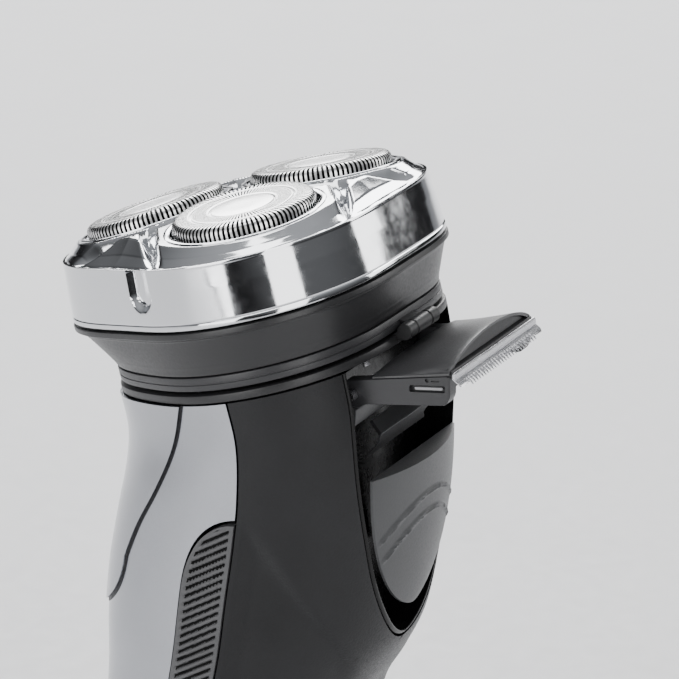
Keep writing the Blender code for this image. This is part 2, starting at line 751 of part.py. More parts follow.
def cutter(name, frame):
    outline = []
    for k in range(CUTTER_BLADES):
        middle = 2 * math.pi * k / CUTTER_BLADES
        for offset, r in ((-0.30, 6.2), (-0.16, 10.1), (0.10, 10.1), (0.22, 6.2)):
            outline.append((r, middle + offset * 2 * math.pi / CUTTER_BLADES))
    rings = [[(r * math.cos(a), r * math.sin(a), z) for r, a in outline] for z in (-3.2, -1.05)]
    disc = loft(name, rings, "steel", frame, smooth=False)
    return cut(disc, cylinder("bore", 2.2, -5.0, 1.0, "steel", frame, 16))


def retaining_frame():
    plate = loft("retaining_frame", [lip_outline(2.7, -11.2), lip_outline(2.7, -9.8)], "dark_grey", HEAD)
    cut(plate, cylinder("bore", 2.3, -12.0, -9.0, "dark_grey", HEAD, 20))
    for degrees in CAP_ANGLES:
        cut(plate, sector_block(math.radians(degrees)))
    return plate


def sector_block(middle):
    """Wedge between two arms of the retaining frame."""
    points = []
    for i in range(11):
        a = middle + math.radians(-55 + 11 * i)
        points.append((22.0 * math.cos(a), 22.0 * math.sin(a)))
    for i in range(5):
        a = middle + math.radians(42 - 21 * i)
        points.append((6.2 * math.cos(a), 6.2 * math.sin(a)))
    return loft("wedge", [[(x, y, z) for x, y in points] for z in (-12.0, -9.0)], "dark_grey", HEAD)


def lock_knob():
    profile = ((0, -13.6), (3.6, -13.6), (4.0, -13.2), (4.0, -11.6), (2.0, -11.6), (2.0, -9.4), (0, -9.4))
    knob = revolve("lock_knob", profile, "dark_grey", HEAD, 24)
    wing = box("wing", (-4.8, -1.0, -15.4), (4.8, 1.0, -13.2), "dark_grey", HEAD)
    return join(knob, wing)


# ---------------------------------------------------------------- deck under the head

def gear_deck():
    plate = loft("gear_deck", [neck_outline(3.4, -26.4, 36), neck_outline(3.4, -25.0, 36)], "dark_grey", HEAD)
    cut(plate, cylinder("bore", 1.05, -28, -24, "dark_grey", HEAD, 20))
    for degrees in CAP_ANGLES:
        cut(plate, cylinder("bore", 1.28, -28, -24, "dark_grey", around_head(GEAR_CENTRE, degrees), 20))
    for degrees in DECK_SCREW_ANGLES:
        cut(plate, cylinder("bore", 1.05, -28, -24, "dark_grey", around_head(DECK_SCREW_R, degrees), 16))
    return plate


def deck_screws():
    profile = ((0, -30.0), (0.9, -30.0), (0.9, -24.8), (1.8, -24.8), (1.8, -24.5), (1.2, -24.25), (0, -24.25))
    for index, degrees in enumerate(DECK_SCREW_ANGLES, start=1):
        a = math.radians(degrees)
        place = (DECK_SCREW_R * math.cos(a), DECK_SCREW_R * math.sin(a))
        revolve(f"deck_screw_{index}", profile, "steel", HEAD, 12, place)


def gear_cover():
    rings = [neck_outline(3.4, -24.8, 36), neck_outline(3.4, -21.4, 36), neck_outline(3.9, -20.9, 36)]
    cover = loft("gear_cover", rings, "dark_grey", HEAD)
    inside = loft("inside", [neck_outline(3.9, -25.5, 36), neck_outline(3.9, -21.7, 36)], "dark_grey", HEAD)
    cut(cover, inside)
    for degrees in CAP_ANGLES:
        cut(cover, cylinder("bore", 2.5, -23, -19, "dark_grey", around_head(GEAR_CENTRE, degrees), 20))
    return cover


def seal_ring():
    """Rubber lip around the motor shaft under the deck."""
    profile = ((1.08, -27.5), (2.3, -27.5), (2.3, -26.6), (1.3, -26.6), (1.08, -26.9))
    return turned_ring("seal_ring", profile, "grip_rubber", HEAD, 16)


# ---------------------------------------------------------------- trimmer

def arm_top(y):
    """Height of the trimmer arms' top edge."""
    return 131.0 + (y - 25.6) * 2.9 / 16.3


def trimmer_frame():
    yoke = prism_x("trimmer_frame", ARM_SIDE, -ARM_HALF, ARM_HALF, "dark_grey")
    window = box("window", (-13.0, 20.0, 120.0), (13.0, 38.9, 140.0), "dark_grey")
    cut(yoke, window)
    return cut(yoke, pin_x("bore", 0.87, -20, 20, *TRIM_PIVOT, "dark_grey"))


def trimmer_cover():
    rings = []
    for y, rise, edge in ((29.0, 0.6, 0.5), (33.0, 1.8, 0.9), (37.5, 2.8, 1.0), (41.9, 3.6, 1.0)):
        low = arm_top(y) + 0.25
        top = []
        for i in range(13):
            x = 15.37 * math.cos(math.pi * i / 12)
            top.append((x, y, low + edge + rise * math.sin(math.pi * i / 12)))
        rings.append([(15.37, y, low), *top, (-15.37, y, low)])
    return loft("trimmer_cover", rings, "black")


def toothed_plate(name, half, pitch, tip, z):
    """Comb: a bar with square teeth, sloping down and away from the handle."""
    root = 0.5
    count = int(2 * half / pitch)
    start = -count * pitch / 2
    outline = [(-half, 0.0), (-half, root)]
    for k in range(count):
        x = start + k * pitch
        outline += [(x + 0.18 * pitch, root), (x + 0.30 * pitch, tip),
                    (x + 0.70 * pitch, tip), (x + 0.82 * pitch, root)]
    outline += [(half, root), (half, 0.0)]
    c, s = math.cos(BLADE_SLOPE), math.sin(BLADE_SLOPE)
    rings = []
    for t in (0.0, -BLADE_THICK):
        rings.append([(x, BLADE_Y + d * c - t * s, z - d * s + t * c) for x, d in outline])
    return loft(name, rings, "steel", smooth=False)


def trimmer_blades():
    comb = toothed_plate("trimmer_comb", 15.3, 0.95, 2.1, 133.9)
    blade = toothed_plate("trimmer_moving_blade", 13.4, 1.4, 1.6, 133.1)
    return comb, blade


def trimmer_slider():
    """Convex shield plate that slides in the recess."""
    rings = []
    for i in range(13):
        t = i / 12
        z = SLIDER_TOP_Z + (SLIDER_TIP_Z + 0.4 - SLIDER_TOP_Z) * math.sin(t * math.pi / 2)
        down = (SLIDER_TOP_Z - z) / (SLIDER_TOP_Z - SLIDER_TIP_Z)
        half = SLIDER_HALF * (1 - down ** 2.35) ** 0.62
        rise = 3.0 * (1 - 0.15 * down) * (half / SLIDER_HALF) ** 1.3
        arc = []
        for k in range(11):
            x = half * math.cos(math.pi * k / 10)
            arc.append((x, SLIDER_BACK + 0.45 + rise * (1 - (x / max(half, 0.1)) ** 2), z))
        rings.append([(half, SLIDER_BACK, z), *arc, (-half, SLIDER_BACK, z)])
    return loft("trimmer_slider", rings, "dark_grey")


def slider_carriage():
    """Runner on the slider's back inside the recess."""
    return box("slider_carriage", (-5.0, 25.4, 98.0), (5.0, SLIDER_BACK - 0.1, 110.0), "black")


def cam_plate():
    side = ((25.5, 117.4), (26.3, 117.0), (28.4, 122.4), (27.6, 122.8))
    return prism_x("trimmer_cam_plate", side, -9.5, 9.5, "dark_grey")


# ---------------------------------------------------------------- assembly

def main():
    for obj in list(bpy.data.objects):
        bpy.data.objects.remove(obj, do_unlink=True)
    front_housing()
    front_panel()
    rear_housing()
    trimmer_bezel()
    side_grips()
    base_cap()
    base_screws()
    charging_socket()
    chassis()
    battery_cells()
    battery_contacts()
    circuit_board()
    power_block("power_button", 0.0, -0.9, 2.4)
    release_block("release_button", 0.0, -0.9, 2.4)
    lamp_block("indicator_lens", 0.0, -0.5, 0.7)
    collar_ring()
    gear_deck()
    deck_screws()
    gear_cover()
    seal_ring()
    pin_x("head_hinge_pin", 0.68, -5.1, 5.1, *HEAD_PIN, "steel", HEAD)
    motor_parts()
    drive_lines()
    head_axis = pivot("head_axis", HEAD.child(0, *HEAD_PIN))
    parented(head_axis, head_cover(), hair_chamber(), neck_ring(), retaining_frame(), lock_knob())
    shaving_caps()
    pin_x("trimmer_hinge_pin", 0.8, -17.0, 17.0, *TRIM_PIVOT, "steel")
    trimmer_axis = pivot("trimmer_axis", WORLD.child(0, *TRIM_PIVOT))
    comb, blade = trimmer_blades()
    parented(trimmer_axis, trimmer_frame(), trimmer_cover(), comb, blade)
    trimmer_slider()
    slider_carriage()
    cam_plate()


main()
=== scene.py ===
"""Looks of a rotary shaver: a tilted chrome head with three caps on a waisted handle with a fold-out trimmer.

Lengths are millimetres. The width runs along X, the front faces -Y and the flat base stands on Z = 0.
"""

import logging
import math
from dataclasses import dataclass, field
from enum import Enum
from typing import Callable, Sequence

import bmesh
import bpy
from mathutils import Matrix, Vector


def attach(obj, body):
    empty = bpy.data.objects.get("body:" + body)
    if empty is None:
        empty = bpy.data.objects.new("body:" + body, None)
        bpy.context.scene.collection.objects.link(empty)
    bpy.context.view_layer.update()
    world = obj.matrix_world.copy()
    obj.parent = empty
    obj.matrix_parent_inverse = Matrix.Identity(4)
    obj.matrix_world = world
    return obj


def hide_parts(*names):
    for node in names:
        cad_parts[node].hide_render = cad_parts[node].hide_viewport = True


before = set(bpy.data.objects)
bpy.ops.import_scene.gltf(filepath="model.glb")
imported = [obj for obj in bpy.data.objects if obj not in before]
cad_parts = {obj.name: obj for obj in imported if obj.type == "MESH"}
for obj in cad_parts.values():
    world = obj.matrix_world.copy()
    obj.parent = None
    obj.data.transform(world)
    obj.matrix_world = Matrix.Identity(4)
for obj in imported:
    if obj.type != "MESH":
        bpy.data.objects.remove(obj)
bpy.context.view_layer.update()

LOG = logging.getLogger("shaver")
MM = 0.001
Point = tuple[float, float, float]
Face = Sequence[int]
Edge = Callable[[float], float]


# ---------------------------------------------------------------- small maths

def smooth_step(x: float) -> float:
    """Ease from 0 to 1 as x goes from 0 to 1."""
    x = min(max(x, 0.0), 1.0)
    return x * x * (3 - 2 * x)


def spread(low: float, high: float, count: int) -> list[float]:
    """Even values from low to high in count steps."""
    return [low + (high - low) * i / count for i in range(count + 1)]


def crowded(low: float, high: float, count: int) -> list[float]:
    """Values from low to high that crowd towards low."""
    return [low + (high - low) * (i / count) ** 2 for i in range(count + 1)]


def line_through(knots: Sequence[tuple[float, float]], x: float) -> float:
    """Read a broken line.

    Args:
        knots: the line's (x, value) corners, in rising x.
        x: where to read it.

    Returns:
        The value at x, held level beyond either end.
    """
    if x <= knots[0][0]:
        return knots[0][1]
    for (x0, y0), (x1, y1) in zip(knots, knots[1:]):
        if x <= x1:
            return y0 + (y1 - y0) * (x - x0) / (x1 - x0)
    return knots[-1][1]


# ---------------------------------------------------------------- placement and meshes

@dataclass(frozen=True)
class Place:
    """Placement of a piece: a matrix in millimetres whose Z is the piece's own axis."""

    matrix: Matrix

    def child(self, x: float, y: float, z: float, lean: float = 0.0, turn: float = 0.0) -> "Place":
        """Place a frame inside this one.

        Args:
            x, y, z: the origin of the new frame in this one.
            lean: turn about the new Y, in radians, made first.
            turn: turn about Z, in radians, made second.

        Returns:
            The new placement.
        """
        step = Matrix.Translation((x, y, z)) @ Matrix.Rotation(turn, 4, "Z") @ Matrix.Rotation(lean, 4, "Y")
        return Place(self.matrix @ step)

    def in_metres(self) -> Matrix:
        """The same placement with its origin in metres."""
        matrix = self.matrix.copy()
        matrix.translation = matrix.translation * MM
        return matrix


WORLD = Place(Matrix.Identity(4))
HEAD_TILT = math.radians(15.79)
HEAD = Place(Matrix.Translation((0.0, -1.0, 153.0)) @ Matrix.Rotation(HEAD_TILT, 4, "X"))


@dataclass
class Solid:
    """Points and faces of one piece while it is being drawn up."""

    points: list[Point] = field(default_factory=list)
    faces: list[Face] = field(default_factory=list)
    dark: set[int] = field(default_factory=set)

    def add(self, points: Sequence[Point], faces: Sequence[Face]) -> None:
        """Append another closed body to this one."""
        base = len(self.points)
        self.points.extend(points)
        self.faces.extend([base + i for i in face] for face in faces)

    def piece(self, name: str, place: Place = WORLD, crease: float = 32.0) -> bpy.types.Object:
        """Turn the drawing into a scene object.

        Args:
            name: the piece's name.
            place: where its own frame lies.
            crease: edges sharper than this many degrees shade hard.

        Returns:
            The new object, with faces listed in dark on its second material.
        """
        mesh = bpy.data.meshes.new(name)
        mesh.from_pydata([tuple(c * MM for c in p) for p in self.points], [], self.faces)
        for index in self.dark:
            mesh.polygons[index].material_index = 1
        bm = bmesh.new()
        bm.from_mesh(mesh)
        bmesh.ops.remove_doubles(bm, verts=bm.verts, dist=2e-6)
        bmesh.ops.dissolve_degenerate(bm, edges=bm.edges, dist=1e-6)
        bmesh.ops.recalc_face_normals(bm, faces=bm.faces)
        bm.to_mesh(mesh)
        bm.free()
        mesh.shade_smooth()
        mesh.set_sharp_from_angle(angle=math.radians(crease))
        obj = bpy.data.objects.new(name, mesh)
        bpy.context.scene.collection.objects.link(obj)
        obj.matrix_world = place.in_metres()
        return obj


def strip_faces(rows: int, count: int, closed: bool, start: int = 0) -> list[Face]:
    """Quads between rows of points.

    Args:
        rows: how many rows there are.
        count: points in each row.
        closed: whether the last point of a row joins the first.
        start: index of the first point.

    Returns:
        The quads.
    """
    faces: list[Face] = []
    for r in range(rows - 1):
        for c in range(count if closed else count - 1):
            a = start + r * count + c
            b = start + r * count + (c + 1) % count
            faces.append((a, b, b + count, a + count))
    return faces


def lofted(rings: Sequence[Sequence[Point]]) -> Solid:
    """Closed solid through equal rings, capped at both ends."""
    n = len(rings[0])
    faces = strip_faces(len(rings), n, True)
    faces.append(list(range(n))[::-1])
    faces.append(list(range((len(rings) - 1) * n, len(rings) * n)))
    return Solid([p for ring in rings for p in ring], faces)


def hoop(rings: Sequence[Sequence[Point]]) -> Solid:
    """Closed ring-shaped solid: the last ring joins the first."""
    closed = [*rings, rings[0]]
    return Solid([p for ring in closed for p in ring], strip_faces(len(closed), len(rings[0]), True))


def circle(radius: float, z: float, segments: int) -> list[Point]:
    """Points of a circle about Z."""
    steps = [2 * math.pi * i / segments for i in range(segments)]
    return [(radius * math.cos(a), radius * math.sin(a), z) for a in steps]


def turned_hoop(profile: Sequence[tuple[float, float]], segments: int = 128) -> Solid:
    """Turned ring about Z from a closed (r, z) profile."""
    return hoop([circle(r, z, segments) for r, z in profile])


def rounded(outline: Sequence[tuple[float, float]], radius: float,
            steps: int = 5) -> list[tuple[float, float]]:
    """Round the corners of a closed outline.

    Args:
        outline: its corners.
        radius: how far from a corner the rounding starts, at most half of the shorter side.
        steps: points in each rounded corner, less one.

    Returns:
        The rounded outline.
    """
    points = []
    for i, corner in enumerate(outline):
        here = Vector(corner)
        before, after = Vector(outline[i - 1]) - here, Vector(outline[(i + 1) % len(outline)]) - here
        reach = min(radius, before.length * 0.45, after.length * 0.45)
        a, b = here + before.normalized() * reach, here + after.normalized() * reach
        for k in range(steps + 1):
            t = k / steps
            points.append(tuple(a * (1 - t) ** 2 + here * 2 * t * (1 - t) + b * t * t))
    return points


def extruded_x(side: Sequence[tuple[float, float]], x0: float, x1: float, soft: float = 0.12) -> Solid:
    """Extrude a (y, z) outline along X with slightly softened ends."""
    cy = sum(y for y, _ in side) / len(side)
    cz = sum(z for _, z in side) / len(side)

    def ring(x: float, shrink: float) -> list[Point]:
        """The outline at x, drawn in by about shrink millimetres."""
        points = []
        for y, z in side:
            away = max(math.hypot(y - cy, z - cz), 0.01)
            scale = 1 - shrink / away
            points.append((x, cy + (y - cy) * scale, cz + (z - cz) * scale))
        return points

    return lofted([ring(x0, soft), ring(x0 + soft, 0.0), ring(x1 - soft, 0.0), ring(x1, soft)])


def closed_shell(outer: Sequence[Point], inner: Sequence[Point], faces: Sequence[Face]) -> Solid:
    """Join two layers of the same faces by a rim round every open edge.

    Args:
        outer: points of the outer layer.
        inner: the matching points of the inner layer.
        faces: faces of the outer layer.

    Returns:
        The closed solid.
    """
    count = len(outer)
    open_edges: dict[frozenset, tuple[int, int]] = {}
    for face in faces:
        for a, b in zip(face, [*face[1:], face[0]]):
            key = frozenset((a, b))
            if key in open_edges:
                del open_edges[key]
            elif a != b:
                open_edges[key] = (a, b)
    back = [[i + count for i in reversed(face)] for face in faces]
    rim = [[b, a, a + count, b + count] for a, b in open_edges.values()]
    return Solid([*outer, *inner], [*faces, *back, *rim])


def soften(obj: bpy.types.Object, width: float, segments: int = 2, angle: float = 48.0) -> bpy.types.Object:
    """Round the hard edges of a piece with a Bevel modifier.

    Args:
        obj: the piece.
        width: width of the rounding.
        segments: faces across it.
        angle: edges sharper than this many degrees are rounded.

    Returns:
        The same piece.
    """
    bevel = obj.modifiers.new("edge", "BEVEL")
    bevel.width = width * MM
    bevel.segments = segments
    bevel.limit_method = "ANGLE"
    bevel.angle_limit = math.radians(angle)
    bevel.use_clamp_overlap = True
    bevel.harden_normals = True
    return obj


def carve(obj: bpy.types.Object, *tools: bpy.types.Object) -> bpy.types.Object:
    """Cut tools out of a piece and delete them."""
    for tool in tools:
        cut = obj.modifiers.new("cut", "BOOLEAN")
        cut.solver = "EXACT"
        cut.object = tool
        bpy.context.view_layer.update()
        depsgraph = bpy.context.evaluated_depsgraph_get()
        result = bpy.data.meshes.new_from_object(obj.evaluated_get(depsgraph))
        obj.modifiers.clear()
        obj.data = result
        bpy.data.objects.remove(tool, do_unlink=True)
    obj.data.shade_smooth()
    obj.data.set_sharp_from_angle(angle=math.radians(32))
    return obj


# ---------------------------------------------------------------- finishes

class Grain(Enum):
    """Kinds of fine surface relief."""

    POLISHED = "polished"
    STIPPLED = "stippled"
    BRUSHED = "brushed"
    SPUN = "spun"


@dataclass(frozen=True)
class Finish:
    """One surface finish and its node material."""

    slot: str
    name: str
    colour: tuple[float, float, float]
    metallic: float
    roughness: float
    grain: Grain = Grain.STIPPLED
    size: float = 0.3
    depth: float = 0.01
    mottle: float = 0.08
    spread: float = 0.06
    coat: float = 0.0
    specular: float = 0.5

    def material(self) -> bpy.types.Material:
        """Make the material once and hand it out again after that.

        Returns:
            The node material.
        """
        found = bpy.data.materials.get(self.name)
        if found:
            return found
        mat = bpy.data.materials.new(self.name)
        mat.use_nodes = True
        tree = mat.node_tree
        shader = tree.nodes["Principled BSDF"]
        shader.inputs["Metallic"].default_value = self.metallic
        shader.inputs["Specular IOR Level"].default_value = self.specular
        shader.inputs["Coat Weight"].default_value = self.coat
        shader.inputs["Coat Roughness"].default_value = 0.06
        fine = self._grain_signal(tree)
        broad = self._noise(tree, self._position(tree), 24.0)
        self._colour(tree, broad, shader.inputs["Base Color"])
        self._roughness(tree, fine, shader.inputs["Roughness"])
        bump = tree.nodes.new("ShaderNodeBump")
        bump.inputs["Distance"].default_value = self.depth * MM
        tree.links.new(fine, bump.inputs["Height"])
        tree.links.new(bump.outputs["Normal"], shader.inputs["Normal"])
        return mat

    def _position(self, tree: bpy.types.NodeTree) -> bpy.types.NodeSocket:
        """The piece's own coordinates."""
        return tree.nodes.new("ShaderNodeTexCoord").outputs["Object"]

    def _noise(self, tree: bpy.types.NodeTree, vector: bpy.types.NodeSocket,
               feature: float) -> bpy.types.NodeSocket:
        """Noise over the surface.

        Args:
            tree: the material's node tree.
            vector: the coordinates that it reads.
            feature: size of its features.

        Returns:
            The noise value's socket.
        """
        noise = tree.nodes.new("ShaderNodeTexNoise")
        noise.inputs["Scale"].default_value = 1.0 / (feature * MM)
        noise.inputs["Detail"].default_value = 3.0
        tree.links.new(vector, noise.inputs["Vector"])
        return noise.outputs["Fac"]

    def _grain_signal(self, tree: bpy.types.NodeTree) -> bpy.types.NodeSocket:
        """Height signal of the fine relief, stretched or wound the way the grain runs."""
        position = self._position(tree)
        if self.grain is Grain.SPUN:
            split = tree.nodes.new("ShaderNodeSeparateXYZ")
            tree.links.new(position, split.inputs["Vector"])
            flat = tree.nodes.new("ShaderNodeCombineXYZ")
            tree.links.new(split.outputs["X"], flat.inputs["X"])
            tree.links.new(split.outputs["Y"], flat.inputs["Y"])
            length = tree.nodes.new("ShaderNodeVectorMath")
            length.operation = "LENGTH"
            tree.links.new(flat.outputs["Vector"], length.inputs[0])
            wound = tree.nodes.new("ShaderNodeCombineXYZ")
            tree.links.new(length.outputs["Value"], wound.inputs["X"])
            return self._noise(tree, wound.outputs["Vector"], self.size)
        if self.grain is Grain.BRUSHED:
            stretch = tree.nodes.new("ShaderNodeMapping")
            stretch.inputs["Scale"].default_value = (0.03, 1.0, 1.0)
            tree.links.new(position, stretch.inputs["Vector"])
            return self._noise(tree, stretch.outputs["Vector"], self.size)
        return self._noise(tree, position, self.size)

    def _colour(self, tree: bpy.types.NodeTree, signal: bpy.types.NodeSocket,
                target: bpy.types.NodeSocket) -> None:
        """Shade the colour a little darker and lighter over the surface."""
        ramp = tree.nodes.new("ShaderNodeValToRGB")
        ramp.color_ramp.elements[0].position = 0.3
        ramp.color_ramp.elements[1].position = 0.7
        ramp.color_ramp.elements[0].color = (*[c * (1 - self.mottle) for c in self.colour], 1.0)
        ramp.color_ramp.elements[1].color = (*[min(c * (1 + self.mottle), 1.0) for c in self.colour], 1.0)
        tree.links.new(signal, ramp.inputs["Fac"])
        tree.links.new(ramp.outputs["Color"], target)

    def _roughness(self, tree: bpy.types.NodeTree, signal: bpy.types.NodeSocket,
                   target: bpy.types.NodeSocket) -> None:
        """Vary the roughness with the fine relief."""
        span = tree.nodes.new("ShaderNodeMapRange")
        span.inputs["From Min"].default_value = 0.3
        span.inputs["From Max"].default_value = 0.7
        span.inputs["To Min"].default_value = max(self.roughness - self.spread, 0.02)
        span.inputs["To Max"].default_value = self.roughness + self.spread
        tree.links.new(signal, span.inputs["Value"])
        tree.links.new(span.outputs["Result"], target)


SILVER = Finish("silver", "silver_lacquer", (0.46, 0.47, 0.50), 1.0, 0.24, size=0.12, depth=0.003, coat=0.2)
BLACK = Finish("black", "black_plastic", (0.012, 0.012, 0.013), 0.0, 0.42, size=0.35, depth=0.035,
               spread=0.10,
               mottle=0.3, specular=0.3)
SOFT_BLACK = Finish("black", "soft_black_plastic", (0.016, 0.016, 0.017), 0.0, 0.40, size=0.3, depth=0.02,
                    mottle=0.2)
# Near-black gloss used only round the keys: painted shade standing in for the gaps round them.
KEY_GAP_SHADE = Finish("gloss_black", "key_gap_painted_shade", (0.004, 0.004, 0.005), 0.0, 0.12, Grain.POLISHED,
                     size=2.0, depth=0.002, spread=0.03)
RUBBER = Finish("grip_rubber", "ribbed_rubber", (0.075, 0.075, 0.078), 0.0, 0.5, size=0.25, depth=0.03,
                mottle=0.3)
CHROME = Finish("chrome", "polished_chrome", (0.78, 0.79, 0.81), 1.0, 0.09, Grain.POLISHED, size=1.5,
                depth=0.001,
                mottle=0.02, spread=0.03)
CAP_METAL = Finish("chrome", "spun_cap_metal", (0.90, 0.90, 0.90), 1.0, 0.30, Grain.SPUN, size=0.16,
                   depth=0.008,
                   mottle=0.04, spread=0.08)
# Near-black finish put on the sunk floors of the cap slots and in the grip's rib grooves: painted shade.
SLOT_PAINTED_SHADE = Finish("steel", "slot_shadow", (0.008, 0.008, 0.008), 0.0, 0.8, size=0.3, depth=0.01,
                   specular=0.1)
DARK_GREY = Finish("dark_grey", "dark_grey_plastic", (0.026, 0.026, 0.028), 0.0, 0.40, size=0.3, depth=0.02,
                   mottle=0.2)
HOOD_BLACK = Finish("black", "hood_plastic", (0.030, 0.030, 0.032), 0.0, 0.34, size=0.3, depth=0.02,
                    mottle=0.2)
TRAY_BLACK = Finish("gloss_black", "tray_plastic", (0.004, 0.004, 0.004), 0.0, 0.26, Grain.POLISHED, size=2.0,
                    depth=0.002, spread=0.05, specular=0.3)
CONE_GREY = Finish("dark_grey", "chamber_plastic", (0.018, 0.018, 0.019), 0.0, 0.38, size=0.4, depth=0.012,
                   mottle=0.15)
SLIDER_GREY = Finish("dark_grey", "slider_plastic", (0.055, 0.056, 0.058), 0.0, 0.42, size=0.28, depth=0.02,
                     mottle=0.12)
# Light grey used only on the arm ribs: painted highlight.
RIB_HIGHLIGHT_GREY = Finish("dark_grey", "rib_painted_highlight", (0.30, 0.30, 0.31), 0.0, 0.45, size=0.4, depth=0.01)
STEEL = Finish("steel", "brushed_steel", (0.62, 0.62, 0.64), 1.0, 0.28, Grain.BRUSHED, size=0.12, depth=0.006)
SPUN_STEEL = Finish("steel", "spun_steel", (0.66, 0.66, 0.68), 1.0, 0.28, size=0.2, depth=0.006)
WHITE = Finish("white_plastic", "white_acetal", (0.78, 0.78, 0.75), 0.0, 0.38, size=0.5, depth=0.01,
               mottle=0.03)
BOARD = Finish("board_green", "board_resist", (0.02, 0.16, 0.06), 0.0, 0.35, size=0.8, depth=0.02,
               mottle=0.35,
               coat=0.3)
BRASS = Finish("brass", "stamped_brass", (0.76, 0.56, 0.26), 1.0, 0.26, Grain.BRUSHED, size=0.15, depth=0.006)
LENS = Finish("lens", "tinted_lens", (0.06, 0.45, 0.14), 0.0, 0.10, Grain.POLISHED, size=1.0, depth=0.002,
              coat=0.6)
CELL_WRAP = Finish("cell_wrap", "shrink_wrap", (0.05, 0.16, 0.38), 0.0, 0.28, Grain.BRUSHED, size=0.6,
                   depth=0.02,
                   coat=0.3)


class SubAssembly:
    """A group of pieces that ride on one body unless they say otherwise."""

    body = "handle"

    def keep(self, obj: bpy.types.Object, finish: Finish, *stands_for: str,
             body: str = "") -> bpy.types.Object:
        """Dress a piece and tie it to its body.

        Args:
            obj: the finished piece, in place.
            finish: its finish.
            stands_for: the frame's nodes that it is shown instead of.
            body: the body that it rides on, if not the group's own.

        Returns:
            The same piece.
        """
        obj.data.materials.append(finish.material())
        if finish.grain is not Grain.SPUN:
            obj.data.transform(obj.matrix_world)
            obj.matrix_world = Matrix.Identity(4)
        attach(obj, body or self.body)
        if stands_for:
            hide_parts(*stands_for)
        LOG.info("%s rides on %s", obj.name, body or self.body)
        return obj


# ---------------------------------------------------------------- handle

@dataclass
class HandleSkin:
    """Outer surface of the handle: closed sections between the front and rear outlines."""

    # front y, front z, rear y, rear z, half width, triangle term, square term
    stations: tuple[tuple[float, ...], ...] = (
        (-15.5, 0.0, 16.0, 0.0, 18.6, 0.0, -0.5),
        (-17.3, 5.0, 17.4, 5.0, 20.2, 0.0, -0.6),
        (-17.9, 25.0, 17.2, 25.0, 22.0, 0.0, -0.6),
        (-18.6, 45.0, 16.4, 45.0, 22.8, 0.0, -0.6),
        (-19.4, 60.0, 17.0, 60.0, 23.6, 0.0, -0.6),
        (-20.0, 72.0, 20.4, 72.0, 24.3, 0.0, -0.6),
        (-20.2, 79.0, 24.6, 79.0, 24.8, 0.0, -0.6),
        (-20.1, 86.5, 28.2, 86.0, 25.3, -0.2, -0.6),
        (-19.2, 95.0, 30.2, 95.5, 25.8, -0.2, -0.6),
        (-17.5, 104.0, 31.4, 106.0, 26.3, 0.0, -0.6),
        (-16.6, 110.0, 31.8, 115.5, 26.7, 0.4, -0.5),
        (-17.2, 115.5, 31.0, 126.0, 26.9, 1.3, -0.3),
        (-19.5, 120.6, 28.7, 134.2, 27.2, 2.27, 0.0),
    )
    top: float = 11.96
    scoop_depth: float = 1.2
    wall: float = 1.6

    def section(self, v: float) -> list[float]:
        """Sizes of the section at position v, read smoothly between the stations."""
        rows = self.stations
        i = min(max(math.floor(v), 0), len(rows) - 2)
        t = v - i
        p1, p2 = rows[i], rows[i + 1]
        p0 = rows[i - 1] if i > 0 else [2 * a - b for a, b in zip(p1, p2)]
        p3 = rows[i + 2] if i + 2 < len(rows) else [2 * b - a for a, b in zip(p1, p2)]
        return [0.5 * (2 * b + (c - a) * t + (2 * a - 5 * b + 4 * c - d) * t * t
                       + (3 * b - a - 3 * c + d) * t ** 3) for a, b, c, d in zip(p0, p1, p2, p3)]

    def scoop(self, v: float, degrees: float) -> float:
        """Depth of the hollow below the crease that sweeps back from each side grip."""
        away = 90.0 - abs((degrees - 90.0 + 180.0) % 360.0 - 180.0)
        if away < 9.0 or v > 9.6:
            return 0.0
        crease = 9.5 - 0.0545 * (away - 11.5)
        into = smooth_step((crease - v) / 0.4)
        fade = smooth_step((v - 4.5) / 3.0)
        return (self.scoop_depth * into * fade * smooth_step((away - 9.0) / 8.0)
                * smooth_step((66.0 - away) / 14.0))

    def point(self, v: float, degrees: float, inset: float = 0.0) -> Point:
        """Point of the surface, moved inwards by inset.

        Args:
            v: position up the handle, in stations.
            degrees: angle round the section, 0 at +X and 90 at the rear.
            inset: how far inside the surface.

        Returns:
            The point.
        """
        fy, fz, ry, rz, half, k3, k4 = self.section(v)
        length = math.hypot(ry - fy, rz - fz)
        dy, dz = (ry - fy) / length, (rz - fz) / length
        mean = length / 2
        k2 = (half - mean) / 2
        a = math.radians(degrees)
        radius = (half + mean) / 2 - k4 + k2 * math.cos(2 * a) + k3 * math.sin(3 * a) + k4 * math.cos(4 * a)
        radius -= inset + self.scoop(v, degrees)
        along = mean + k3 + radius * math.sin(a)
        return (radius * math.cos(a), fy + dy * along, fz + dz * along)

    def panel(self, rows: Sequence[float], left: Edge, right: Edge, columns: int,
              lift: Callable[[float, float], float], wall: float) -> Solid:
        """Closed piece of the surface between two edges.

        Args:
            rows: positions up the handle.
            left: angle of its left edge at a position.
            right: angle of its right edge at a position.
            columns: how many faces wide it is.
            lift: height above the surface at a position and angle.
            wall: its thickness.

        Returns:
            The closed solid.
        """
        outer, inner = [], []
        for v in rows:
            a, b = left(v), right(v)
            for c in range(columns + 1):
                degrees = a + (b - a) * c / columns
                outer.append(self.point(v, degrees, -lift(v, degrees)))
                inner.append(self.point(v, degrees, wall))
        return closed_shell(outer, inner, strip_faces(len(rows), columns + 1, False))


SKIN = HandleSkin()


def recess_half(v: float, shrink: float = 0.0) -> float:
    """Half angle of the U-shaped rear recess at position v, drawn in by about shrink millimetres."""
    depth = 4.15 - shrink * 0.12
    drop = min(max(11.0 - v, 0.0) / depth, 1.0)
    return max(43.5 * (1 - drop ** 1.75) ** (1 / 1.75) - 2.1 * shrink, 0.0)


